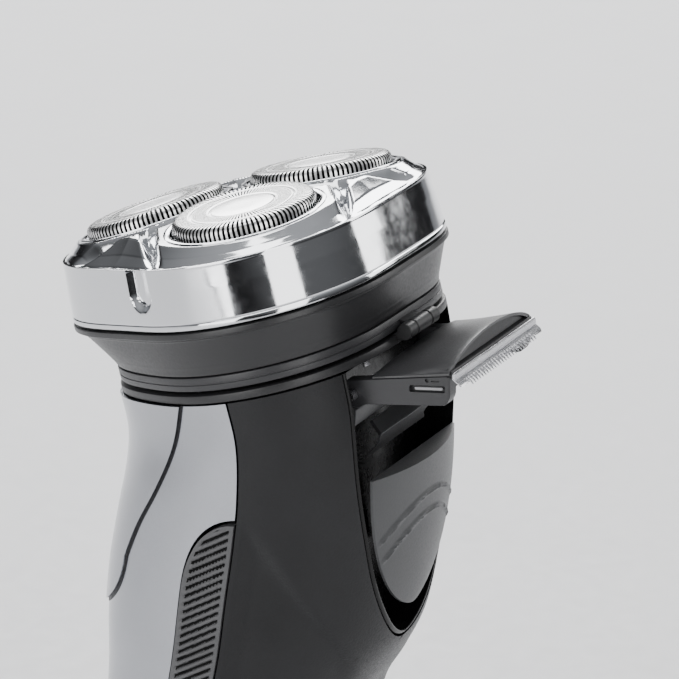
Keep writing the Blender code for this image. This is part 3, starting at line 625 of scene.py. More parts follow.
@dataclass
class Housing(SubAssembly):
    """Silver front, black rear, raised front panel and ribbed side grips."""

    border: float = 8.7
    seam: float = 0.7
    grip_low: float = -9.2
    grip_start: float = 8.25
    grip_top: float = 9.55
    panel_lift: float = 0.5
    shadow_gap_lift: float = 0.08
    shadow_gap_out: float = 0.7
    rib_pitch: float = 1.26
    rib_slope: float = 0.565
    rib_height: float = 0.5
    edge: float = 0.22

    def front_border(self, v: float) -> float:
        """Rear edge of the silver front: it steps forward round the grip's rounded top."""
        high = self.border - self.seam
        if v > self.grip_top:
            return high
        t = max(v - self.grip_start, 0.0) / (self.grip_top - self.grip_start)
        return self.grip_low + (high - self.grip_low) * (1 - math.sqrt(max(0.0, 1 - t * t)))

    def grip_border(self, v: float) -> float:
        """Front edge of the rubber grip."""
        low, high = self.grip_low + self.seam, self.border - self.seam
        t = min(max(v - 8.2, 0.0) / 1.25, 1.0)
        return low + (high - low) * (1 - math.sqrt(1 - t * t))

    def panel_half(self, v: float) -> float:
        """Half angle of the raised front panel, closing in a round end near v = 6.9."""
        wide = 78.0 - 7.0 * (SKIN.top - v) if v > 8.4 else 53.1
        if v < 8.4:
            wide *= max(0.0, 1 - (min(8.4 - v, 1.5) / 1.5) ** 2.4) ** 0.5
        return max(wide, 0.6)

    def build(self) -> None:
        """Make every piece of the outer housing."""
        self.front()
        self.front_panel()
        self.rear()
        for side in ("right", "left"):
            self.grip(side)

    def front(self) -> None:
        """Silver shell that wraps the front and the flanks."""
        turn = [self.grip_start + (self.grip_top - self.grip_start) * math.sin(math.radians(d))
                for d in range(0, 91, 6)]
        rows = [*spread(0.0, self.grip_start, 70)[:-1], *turn, *spread(self.grip_top, SKIN.top, 26)[1:]]
        shell = SKIN.panel(rows, lambda v: -180.0 - self.front_border(v), self.front_border, 110,
                           lambda v, a: 0.0, SKIN.wall)
        self.keep(soften(shell.piece("front_shell"), self.edge), SILVER, "front_housing")

    def front_panel(self) -> None:
        """Raised panel that carries the controls, ringed by painted shade for the gap round its edge."""
        rows = [*crowded(6.9, 8.4, 22), *spread(8.4, SKIN.top, 34)[1:]]
        shell = SKIN.panel(rows, lambda v: -90 - self.panel_half(v), lambda v: -90 + self.panel_half(v), 64,
                           lambda v, a: self.panel_lift, 0.6)
        self.keep(soften(shell.piece("raised_front_panel"), 0.28, 3), SILVER, "front_panel")
        # A black sheet a little wider than the panel and barely proud of the housing: painted shade standing
        # in for a shadow gap round the panel's edge.
        shadow_gap_rows = [*crowded(6.85, 8.4, 22), *spread(8.4, SKIN.top, 34)[1:]]
        shadow_gap = SKIN.panel(shadow_gap_rows, lambda v: -90 - self.panel_half(v + 0.05) - self.shadow_gap_out,
                            lambda v: -90 + self.panel_half(v + 0.05) + self.shadow_gap_out, 64,
                            lambda v, a: self.shadow_gap_lift, 0.3)
        self.keep(shadow_gap.piece("panel_shadow_gap"), BLACK)

    def rear(self) -> None:
        """Black shell with the U-shaped opening for the trimmer."""
        tip = 11.0 - 4.15 - 0.12 * 0.3
        rows = [*spread(0.0, tip, 56)[:-1], *crowded(tip, SKIN.top, 44)]
        half = 44
        straight = Vector((0.0, -math.cos(HEAD_TILT), -math.sin(HEAD_TILT))) * SKIN.wall
        outer, inner, grid = [], [], []
        for v in rows:
            mouth = recess_half(v, -0.3) if v > tip else 0.0
            left = [self.border + (90.0 - mouth - self.border) * c / half for c in range(half + 1)]
            right = [180.0 - a for a in reversed(left)]
            row = []
            for a in left if mouth == 0.0 else [*left, *right]:
                row.append(len(outer))
                point = SKIN.point(v, a)
                outer.append(point)
                at_mouth = mouth > 0.0 and abs(abs(a - 90.0) - mouth) < 1e-6
                inner.append(tuple(Vector(point) + straight) if at_mouth else SKIN.point(v, a, SKIN.wall))
            if mouth == 0.0:
                for a in right[1:]:
                    row.append(len(outer))
                    outer.append(SKIN.point(v, a))
                    inner.append(SKIN.point(v, a, SKIN.wall))
                row.insert(half + 1, row[half])
            grid.append(row)
        faces = []
        for low, high in zip(grid, grid[1:]):
            for c in range(2 * half + 1):
                if c != half:
                    faces.append([low[c], low[c + 1], high[c + 1], high[c]])
        shell = closed_shell(outer, inner, faces)
        self.keep(soften(shell.piece("rear_shell"), self.edge, 3), BLACK, "rear_housing")

    def rib_wave(self, v: float, degrees: float) -> tuple[float, float]:
        """Shape of the slanted ribs.

        Args:
            v: position up the handle.
            degrees: angle round the section.

        Returns:
            The wave's height from 0 to 1, and how far the point is inside the plain frame, from 0 to 1.
        """
        _, y, z = SKIN.point(v, degrees)
        t = ((z - self.rib_slope * y) / self.rib_pitch) % 1.0
        wave = smooth_step(t / 0.16) * (1.0 - 0.35 * t) * smooth_step((0.74 - t) / 0.16)
        per_degree = 24.5 * math.pi / 180
        margin = min((degrees - self.grip_border(v)) * per_degree,
                     (self.border - self.seam - degrees) * per_degree,
                     (9.42 - v) * 8.0, (v - 0.05) * 5.0)
        return wave, smooth_step((margin - 0.55) / 0.25)

    def rib(self, v: float, degrees: float) -> float:
        """Height of the ribs and their plain frame."""
        wave, inside = self.rib_wave(v, degrees)
        return self.rib_height * (inside * wave + (1 - inside) * 0.92) - 0.17

    def grip(self, side: str) -> None:
        """Rubber grip with slanted ribs on one flank, and painted shade in the grooves between them."""
        rows = [*spread(0.02, 8.2, 400)[:-1],
                *[8.2 + 1.24 * math.sin(math.radians(d * 1.5)) for d in range(61)]]
        columns = 30
        shell = SKIN.panel(rows, self.grip_border, lambda v: self.border - self.seam, columns, self.rib,
                           SKIN.wall)
        # Faces at the bottom of each rib groove take the near-black second finish: painted shade in the
        # grooves.
        for row in range(len(rows) - 1):
            v = (rows[row] + rows[row + 1]) / 2
            low = self.grip_border(v)
            for c in range(columns):
                degrees = low + (self.border - self.seam - low) * (c + 0.5) / columns
                wave, inside = self.rib_wave(v, degrees)
                if wave < 0.3 and inside > 0.5:
                    shell.dark.add(row * columns + c)
        if side == "left":
            shell.points = [(-x, y, z) for x, y, z in shell.points]
        grip = shell.piece(f"ribbed_grip_{side}", crease=50.0)
        self.keep(grip, RUBBER, f"side_grip_{side}")
        grip.data.materials.append(SLOT_PAINTED_SHADE.material())


@dataclass
class Controls(SubAssembly):
    """Power key, release key and charge lamp on the front panel."""

    def oval(self, centre: float, tall: float, wide: float, low: float, high: float, dish: float,
             wall: float) -> Solid:
        """Oval plug on the front centre line.

        Args:
            centre: its position up the handle.
            tall: half height, in stations.
            wide: half width, in degrees.
            low: height of its edge above the handle's surface.
            high: height of its middle.
            dish: depth of the finger dish in its middle.
            wall: how far it goes inwards.

        Returns:
            The closed solid.
        """
        def half(v: float) -> float:
            """Half width at position v."""
            t = min(abs(v - centre) / tall, 1.0)
            return max(wide * math.sqrt(1 - t ** 2.4), 0.3)

        def lift(v: float, degrees: float) -> float:
            """Domed top with a shallow dish."""
            out = math.hypot((v - centre) / tall, (degrees + 90.0) / wide)
            dome = math.sqrt(max(0.0, 1 - min(out, 1.0) ** 3))
            return low + (high - low) * dome - dish * math.exp(-(out / 0.45) ** 2)

        rows = [centre + tall * math.sin(math.pi / 2 * i / 16) for i in range(-16, 17)]
        return SKIN.panel(rows, lambda v: -90 - half(v), lambda v: -90 + half(v), 28, lift, wall)

    def build(self) -> None:
        """Make the keys, the black ovals round them that are painted shade for the gaps, and the lamp."""
        # Black ovals a little larger than the keys: painted shade standing in for the gaps round them.
        power_gap_shade = self.oval(8.35, 0.68, 18.4, 0.4, 0.52, 0.0, 0.6)
        self.keep(power_gap_shade.piece("power_key_gap_shade"), KEY_GAP_SHADE)
        power = self.oval(8.35, 0.62, 17.0, 0.35, 0.9, 0.25, 2.0)
        self.keep(power.piece("power_key_cap"), SOFT_BLACK, "power_button", body="power_key")
        release_gap_shade = self.oval(11.05, 0.5, 14.2, 0.4, 0.52, 0.0, 0.6)
        self.keep(release_gap_shade.piece("release_key_gap_shade"), KEY_GAP_SHADE)
        release = self.oval(11.05, 0.45, 13.0, 0.35, 0.9, 0.1, 2.0)
        self.keep(release.piece("release_key_cap"), CHROME, "release_button", body="release_key")
        lamp = self.oval(7.3, 0.1, 3.2, 0.3, 0.5, 0.0, 0.7)
        self.keep(lamp.piece("charge_lamp"), LENS, "indicator_lens")


@dataclass
class Foot(SubAssembly):
    """Base plate with its screw wells and the inlet opening."""

    inset: float = 2.4
    height: float = 3.0
    inlet: tuple[float, float, float] = (5.3, 4.7, 11.3)
    screw_x: float = 12.0
    screw_y: float = -2.0

    def ring(self, inset: float, z: float) -> list[Point]:
        """Outline of the handle's foot, drawn in by inset."""
        points = [SKIN.point(0.0, 360.0 * i / 120, inset) for i in range(120)]
        return [(x, y, z) for x, y, _ in points]

    def build(self) -> None:
        """Make the base plate."""
        plate = lofted([self.ring(self.inset + 0.4, 0.0), self.ring(self.inset + 0.1, 0.1),
                        self.ring(self.inset, 0.4), self.ring(self.inset, self.height)]).piece("base_plate")
        half, low, high = self.inlet
        mouth = rounded(((-half, low), (half, low), (half, high), (-half, high)), 1.2)
        tools = [lofted([[(x, y, z) for x, y in mouth] for z in (-1.0, 4.0)]).piece("tool")]
        for x in (-self.screw_x, self.screw_x):
            bore = lofted([circle(r, z, 48) for r, z in ((2.2, -1.0), (2.2, 0.29), (1.1, 0.3), (1.1, 4.0))])
            tools.append(bore.piece("tool", WORLD.child(x, self.screw_y, 0.0)))
        self.keep(carve(plate, *tools), BLACK, "base_cap")


# ---------------------------------------------------------------- rear recess

@dataclass
class RearRecess(SubAssembly):
    """Glossy tray of the trimmer, its cam plate and the slider that works it."""

    tray_inset: float = 0.1
    tray_depth: float = 7.1
    slider_top: float = 115.1
    slider_tip: float = 90.3
    slider_half: float = 15.06
    slider_back: float = 28.7
    ridge_height: float = 0.34

    def build(self) -> None:
        """Make the tray, the plates in it and the slider."""
        self.tray()
        self.cam_plate()
        self.guide_wall()
        self.slider()

    def tray(self) -> None:
        """U-shaped tray with a rounded lip, straight walls and a floor."""
        # each loop: how far it is drawn in, and its depth below the handle's surface
        loops = ((0.0, 6.0), (0.0, 0.35), (0.05, 0.12), (0.16, 0.0), (0.42, 0.0), (0.54, 0.1), (0.6, 0.35),
                 (0.66, self.tray_depth))
        half = 60
        points: list[Point] = []
        for shrink, depth in loops:
            tip = 11.0 - (4.15 - 0.12 * shrink)
            arm = []
            for i in range(half + 1):
                v = tip + (SKIN.top - tip) * (1 - i / half) ** 2
                angle = recess_half(v, shrink)
                arm.append((v, angle))
            for sign, span in ((-1, arm), (1, arm[-2::-1])):
                for v, angle in span:
                    x, y, z = SKIN.point(v, 90 + sign * angle, self.tray_inset)
                    points.append((x, y - depth * math.cos(HEAD_TILT), z - depth * math.sin(HEAD_TILT)))
        count = 2 * half + 1
        faces = strip_faces(len(loops), count, False)
        floor = (len(loops) - 1) * count
        for base in (0, floor):
            for i in range(half - 1):
                mirror = count - 1 - i
                faces.append([base + i, base + i + 1, base + mirror - 1, base + mirror])
            faces.append([base + half - 1, base + half, base + half + 1])
        end = [k * count for k in range(len(loops))]
        faces.append([*end, *[i + count - 1 for i in reversed(end)]])
        self.keep(Solid(points, faces).piece("recess_tray", crease=40.0), TRAY_BLACK, "trimmer_bezel")

    def cam_plate(self) -> None:
        """Bent plate with scalloped ends that lifts the trimmer."""
        # along the bend: y, z and half width
        bend = [(25.9 + 2.2 * s, 117.0 + 3.9 * s, 10.6 - 0.9 * s - 1.7 * math.sin(math.pi * s) ** 2)
                for s in spread(0.0, 1.0, 14)]
        bend += [(28.1 - 2.4 * s, 120.9 + 1.5 * s, 9.6 - 1.4 * s) for s in spread(0.1, 1.0, 4)]
        columns = 24
        outer, inner = [], []
        for y, z, half in bend:
            for c in range(columns + 1):
                x = half * (1 - 2 * c / columns)
                outer.append((x, y, z))
                inner.append((x, y - 0.5, z - 0.35))
        plate = closed_shell(outer, inner, strip_faces(len(bend), columns + 1, False))
        self.keep(soften(plate.piece("cam_plate", crease=25.0), 0.1), DARK_GREY, "trimmer_cam_plate")

    def guide_wall(self) -> None:
        """Pale guide on the tray's floor behind the cam plate."""
        side = ((24.2, 122.3), (25.0, 122.6), (25.1, 125.2), (24.2, 125.6))
        wall = extruded_x(rounded(side, 0.2), 1.5, 12.5)
        self.keep(wall.piece("trimmer_guide_wall"), SLIDER_GREY)

    def slider_width(self, down: float) -> float:
        """Half width of the slider's shield, at a fraction of the way down."""
        return max(self.slider_half * (1 - min(down, 1.0) ** 2.35) ** 0.62, 0.02)

    def slider_front(self, x: float, z: float) -> float:
        """How far the slider's front stands off its back, ripples included."""
        down = (self.slider_top - z) / (self.slider_top - self.slider_tip)
        half = self.slider_width(down)
        rise = 3.0 * (1 - 0.15 * down) * (half / self.slider_half) ** 1.3
        off = 0.45 + rise * (1 - min((x / half) ** 2, 1.0))
        for apex, fall in ((109.2, 4.6), (106.0, 5.7)):
            away = z - (apex - fall * (x / 12.5) ** 2)
            band = smooth_step((away + 0.55) / 0.35) * smooth_step((0.55 - away) / 0.35)
            groove = math.exp(-(away / 0.13) ** 2)
            edge = smooth_step((half - abs(x)) / 1.2)
            off += self.ridge_height * (band - 0.8 * groove) * edge
        return off

    def slider(self) -> None:
        """Convex shield plate with two crescent finger ridges."""
        rows, columns = 150, 60
        outer, inner = [], []
        for i in range(rows + 1):
            z = self.slider_top + (self.slider_tip - self.slider_top) * math.sin(math.pi / 2 * i / rows)
            half = self.slider_width((self.slider_top - z) / (self.slider_top - self.slider_tip))
            for k in range(columns + 1):
                x = half * math.cos(math.pi * k / columns)
                outer.append((x, self.slider_back + self.slider_front(x, z), z))
                inner.append((x, self.slider_back, z))
        shield = closed_shell(outer, inner, strip_faces(rows + 1, columns + 1, False))
        piece = soften(shield.piece("slider_shield", crease=50.0), 0.15)
        self.keep(piece, SLIDER_GREY, "trimmer_slider", body="slider")


# ---------------------------------------------------------------- head

@dataclass
class ShavingHead(SubAssembly):
    """Chrome cover, hair chamber and the rings of the neck."""

    body = "head"
    cap_angles: tuple[float, ...] = (30.0, 150.0, 270.0)
    cap_pitch: float = 15.575
    cap_cant: float = math.radians(5.25)
    cap_top: float = 0.57
    hole: float = 12.1
    rim_z: float = -4.5
    band_width: float = 3.2
    groove_half: float = 1.5
    groove_off: float = 15.1
    notch_angles: tuple[float, ...] = (193.5, 346.5)
    chamber_inset: float = 0.06
    notch_half: float = 3.0
    notch_low: float = -11.3
    notch_depth: float = 1.1
    rim_mean: float = 29.31
    rim_lobe: float = 2.99
    platform_mean: float = 24.4
    platform_lobe: float = 4.1
    neck_base: float = 25.90
    neck_lobe: float = 2.27
    neck_oval: float = 1.10
    neck_shift: float = 0.645
    seal_base: float = 26.15
    pin_y: float = 25.0
    pin_z: float = -24.58
    knuckle_radius: float = 1.3
    around: int = 600

    def cap_place(self, index: int) -> Place:
        """Frame of a cap: origin at the middle of its top, Z along its axis, X on its steepest line."""
        a = math.radians(self.cap_angles[index])
        x, y = self.cap_pitch * math.cos(a), self.cap_pitch * math.sin(a)
        leaning = HEAD.child(x, y, self.cap_top, self.cap_cant, a).matrix
        up = leaning.to_3x3().inverted() @ Vector((0.0, 0.0, 1.0))
        return Place(leaning @ Matrix.Rotation(math.atan2(up.y, up.x), 4, "Z"))

    def lip_radius(self, a: float) -> float:
        """Radius of the head's widest outline, a triangle with rounded lobes, at an angle in radians."""
        return self.rim_mean + self.rim_lobe * math.cos(3 * (a - math.pi / 6))

    def platform_radius(self, a: float) -> float:
        """Radius of the raised platforms' outline, which draws in more between the lobes."""
        return self.platform_mean + self.platform_lobe * math.cos(3 * (a - math.pi / 6))

    def neck_point(self, a: float, inset: float, base: float = neck_base) -> tuple[float, float]:
        """Point of the neck's outline at an angle in radians."""
        r = base + self.neck_lobe * math.cos(3 * (a - math.pi / 6)) + self.neck_oval * math.cos(2 * a) - inset
        return r * math.cos(a), r * math.sin(a) + self.neck_shift

    def angles(self) -> list[float]:
        """Angles of the points round the head."""
        return [2 * math.pi * i / self.around for i in range(self.around)]

    def rise(self, to_rim: float, to_groove: float) -> float:
        """Share of the way from the rim's level up to the platform.

        Args:
            to_rim: share of the way inwards from the rim to the platform's outline.
            to_groove: distance from the nearest groove's bottom.

        Returns:
            0 at the rim and in a groove, 1 on the platform.
        """
        inward = to_rim * self.band_width
        steps = ((0.0, 0.0), (0.26, 0.0), (0.36, -0.09), (0.46, 0.02), (0.6, 0.09), (1.6, 0.40), (1.72, 0.47),
                 (2.85, 0.95), (3.05, 1.0))
        return line_through(steps, inward) * smooth_step(to_groove / self.groove_half)

    def groove_distance(self, rho: float, off: float) -> float:
        """Distance to the nearest V groove.

        Args:
            rho: distance from the head's axis.
            off: angle from the middle of the nearest lobe, in radians.

        Returns:
            Distance to the line between two lobes, or further out to the straight side of a cap's platform.
        """
        fork = self.groove_off / math.sin(math.pi / 3)
        across = rho * math.sin(off)
        along = rho * math.cos(off) - fork / 2
        to_side = math.hypot(across - self.groove_off, min(along, 0.0))
        to_middle = math.hypot(rho * math.sin(math.pi / 3 - off),
                               max(rho * math.cos(math.pi / 3 - off) - fork, 0.0))
        return min(to_side, to_middle)

    def crown(self, x: float, y: float) -> float:
        """Height of the cover's top at a point of the head plane."""
        rho, a = math.hypot(x, y), math.atan2(y, x)
        lobe = round((math.degrees(a) - 30.0) / 120.0) * 120.0 + 30.0
        off = a - math.radians(lobe)
        platform = -1.3 - (rho * math.cos(off) - self.cap_pitch) * math.tan(self.cap_cant)
        to_groove = self.groove_distance(rho, abs(off))
        rim = self.lip_radius(a) - 1.0
        share = self.rise((rim - rho) / (rim - self.platform_radius(a)), to_groove)
        floor = 0.12 * smooth_step((rim - rho) / 9.0)
        return self.rim_z + (platform - self.rim_z) * max(share, floor)

    def notch(self, a: float, z: float) -> float:
        """Depth of the U-shaped finger notches on the two flanks."""
        depth = 0.0
        for degrees in self.notch_angles:
            side = abs((a - math.radians(degrees) + math.pi) % (2 * math.pi) - math.pi) * 26.5
            if side < self.notch_half + 1.0:
                centre = self.notch_low + self.notch_half
                reach = math.hypot(side, min(z - centre, 0.0)) if z < centre else side
                inside = smooth_step((self.notch_half - reach) / 1.1)
                floor = 0.5 + 0.5 * smooth_step((reach - self.notch_half + 2.4) / 1.6)
                depth = self.notch_depth * inside * floor
        return depth

    def wall_ring(self, inset: float, z: float) -> list[Point]:
        """Ring of the cover's side, with the finger notches pressed in."""
        points = []
        for a in self.angles():
            r = self.lip_radius(a) - inset - self.notch(a, z)
            points.append((r * math.cos(a), r * math.sin(a), z))
        return points

    def crown_ring(self, share: float, drop: float = 0.0) -> list[Point]:
        """Ring of the cover's top at a share of the way out, or of its underside when drop is given."""
        points = []
        for a in self.angles():
            r = (self.lip_radius(a) - 1.0 - drop) * share
            x, y = r * math.cos(a), r * math.sin(a)
            height = self.crown(x, y) if drop == 0.0 else min(self.crown(x, y) - 1.2, self.rim_z)
            points.append((x, y, height))
        return points

    def build(self) -> None:
        """Make the head and the neck."""
        self.cover()
        self.chamber()
        self.neck_ring()
        self.collar()
        for index in range(3):
            self.cap_surround(index)
            ShavingCap(index, self.cap_place(index)).build()

    def cover(self) -> None:
        """Chrome cover with three canted platforms, V grooves between them and two finger notches."""
        shares = [*spread(0.02, 0.55, 16), *spread(0.56, 0.80, 22), *spread(0.806, 0.998, 52)]
        rings = [self.crown_ring(s) for s in shares]
        wall = [(1.0, -4.52), (0.93, -4.75),
                *[(0.95 - 0.30 * t, -4.9 - 3.1 * t) for t in spread(0.0, 1.0, 14)],
                *[(0.65 - 0.4 * t, -8.0 - 4.9 * t) for t in spread(0.05, 1.0, 24)],
                (0.32, -13.05), (0.34, -13.15), (0.18, -13.28), (0.12, -13.5), (0.12, -13.9), (0.25, -14.1)]
        rings += [self.wall_ring(inset, z) for inset, z in wall]
        rings += [self.wall_ring(1.9, -14.1), self.wall_ring(2.9, -6.5)]
        rings += [self.crown_ring(s, 1.8) for s in spread(0.98, 0.02, 14)]
        cover = lofted(rings).piece("chrome_cover", HEAD, crease=24.0)
        tools = [lofted([circle(self.hole, z, 128) for z in (-12.0, 4.0)]).piece("tool", self.cap_place(i))
                 for i in range(3)]
        carve(cover, *tools)
        cover.data.set_sharp_from_angle(angle=math.radians(27))
        self.keep(cover, CHROME, "head_cover")

    def cap_surround(self, index: int) -> None:
        """Polished ring that frames a cap's hole."""
        profile = ((11.72, -5.2), (11.72, -1.95), (11.8, -1.72), (11.95, -1.64), (12.55, -1.64),
                   (12.72, -1.7),
                   (12.8, -1.88), (12.3, -5.2))
        ring = turned_hoop(profile).piece(f"cap_surround_{index + 1}", self.cap_place(index))
        self.keep(ring, CHROME)

    def chamber(self) -> None:
        """Hair chamber: a cone between the cover and the neck, with a stepped bead at its top."""
        def ring(t: float, z: float, inset: float = 0.0) -> list[Point]:
            """Outline that is the lip at t = 0 and the neck at t = 1."""
            points = []
            for a in self.angles():
                r = self.lip_radius(a) - inset - self.chamber_inset
                nx, ny = self.neck_point(a, inset)
                points.append((r * math.cos(a) * (1 - t) + nx * t, r * math.sin(a) * (1 - t) + ny * t, z))
            return points

        outside = [(0.10, -14.45), (0.02, -14.55), (0.0, -14.7), (0.0, -15.35), (0.06, -15.5), (0.16, -15.56),
                   (0.17, -15.75), (0.22, -15.9), (0.25, -16.05), (0.36, -16.75), (0.48, -17.6),
                   (0.60, -18.5),
                   (0.72, -19.4), (0.80, -20.0), (0.85, -20.35), (0.86, -20.5), (0.90, -20.7), (0.96, -21.3),
                   (1.0, -21.7), (1.04, -21.86)]
        rings = [ring(t, z) for t, z in outside]
        rings += [ring(t, z, 1.6) for t, z in ((1.08, -21.86), (0.72, -19.2), (0.22, -15.9), (0.04, -14.45))]
        self.keep(hoop(rings).piece("chamber_cone", HEAD, crease=26.0), CONE_GREY, "hair_chamber")

    def band(self, profile: Sequence[tuple[float, float]], base: float) -> Solid:
        """Ring round the neck.

        Args:
            profile: closed (inset, z) section of the ring.
            base: mean radius of its outline.

        Returns:
            The closed ring.
        """
        rings = []
        for inset, z in profile:
            rings.append([(*self.neck_point(a, inset, base), z) for a in self.angles()])
        return hoop(rings)

    def knuckle(self, solid: Solid, low: float, high: float, x0: float, x1: float, start: float) -> None:
        """Add a hinge barrel with its web to a ring.

        Args:
            solid: the ring that it joins.
            low, high: heights of the web's root.
            x0, x1: its ends along the pin.
            start: angle in radians where the barrel's arc starts.
        """
        side = [(21.8, high), (21.8, low)]
        side += [(self.pin_y + self.knuckle_radius * math.cos(start + a),
                  self.pin_z + self.knuckle_radius * math.sin(start + a)) for a in spread(0.0, 5.1, 28)]
        barrel = extruded_x(side, x0, x1)
        solid.add(barrel.points, barrel.faces)

    def neck_ring(self) -> None:
        """Lower ring of the head, with its hinge barrel."""
        profile = ((0.22, -24.3), (0.05, -24.2), (0.0, -24.05), (0.0, -23.35), (0.14, -23.28), (0.14, -23.12),
                   (0.0, -23.05), (0.0, -22.35), (0.05, -22.18), (0.2, -22.1), (3.0, -22.1), (3.0, -24.3))
        ring = self.band(profile, self.neck_base)
        self.knuckle(ring, -23.9, -22.4, -2.4, 2.4, -2.9)
        self.keep(ring.piece("neck_band", HEAD), DARK_GREY, "neck_ring")

    def collar(self) -> None:
        """Collar on the handle's top, with the two hinge lugs."""
        profile = ((0.18, -26.18), (0.03, -26.1), (0.0, -25.95), (0.0, -25.1), (0.04, -24.95), (0.2, -24.86),
                   (3.0, -24.86), (3.0, -26.18))
        ring = self.band(profile, self.seal_base)
        for x in (-5.2, 2.7):
            self.knuckle(ring, -26.0, -25.1, x, x + 2.5, -2.2)
        self.keep(ring.piece("collar_band", HEAD), SOFT_BLACK, "collar_ring", body="handle")


@dataclass
class ShavingCap(SubAssembly):
    """Slotted cap with an inner and an outer track."""

    index: int
    place: Place
    slots: int = 90
    slot_depth: float = 0.5
    slot_share: float = 0.46

    # r, z and whether the slots are open at that radius
    profile: tuple[tuple[float, float, bool], ...] = (
        (0.05, -0.02, False), (2.0, 0.0, False), (4.75, 0.0, False), (4.9, -0.04, False),
        (4.95, -0.35, False),
        (5.2, -0.35, False), (5.25, -0.04, False), (5.4, 0.0, False), (5.6, 0.0, False), (5.62, 0.0, True),
        (6.7, 0.0, True), (7.78, 0.0, True), (7.8, 0.0, False), (7.98, -0.02, False), (8.03, -0.4, False),
        (8.33, -0.4, False), (8.38, -0.02, False), (8.6, 0.0, False), (8.62, 0.0, True), (9.6, 0.0, True),
        (10.2, -0.02, True), (10.6, -0.13, True), (10.9, -0.33, True), (11.12, -0.62, True),
        (11.25, -0.98, True),
        (11.25, -2.0, True), (11.25, -2.02, False), (11.25, -2.7, False), (11.17, -2.8, False),
        (11.17, -2.95, False), (11.25, -3.05, False), (11.25, -5.8, False), (12.1, -5.8, False),
        (12.1, -6.3, False), (10.6, -6.3, False), (10.6, -1.3, False), (10.1, -0.88, False),
        (0.05, -0.88, False))

    def build(self) -> None:
        """Make the cap."""
        near, far = (1 - self.slot_share) / 2, (1 + self.slot_share) / 2
        shares = (near - 0.04, near, far, far + 0.04)
        count = 4 * self.slots
        rings = []
        for i, (r, z, is_open) in enumerate(self.profile):
            ring = []
            for k in range(count):
                a = 2 * math.pi * (k // 4 + shares[k % 4]) / self.slots
                sunk = self.slot_depth if is_open and k % 4 in (1, 2) else 0.0
                if r > 10.9 and sunk:
                    ring.append(((r - sunk) * math.cos(a), (r - sunk) * math.sin(a), z - 0.1))
                else:
                    ring.append((r * math.cos(a), r * math.sin(a), z - sunk))
            rings.append(ring)
        solid = lofted(rings)
        # Faces on the sunk slot floors take the near-black second finish: painted shade in the slots.
        for row in range(len(rings) - 1):
            if self.profile[row][2] and self.profile[row + 1][2]:
                solid.dark.update(row * count + k for k in range(count) if k % 4 != 3)
        cap = solid.piece(f"slotted_cap_{self.index + 1}", self.place, crease=30.0)
        self.keep(cap, CAP_METAL, f"shaving_cap_{self.index + 1}", body=f"cap_{self.index + 1}")
        cap.data.materials.append(SLOT_PAINTED_SHADE.material())


# ---------------------------------------------------------------- trimmer

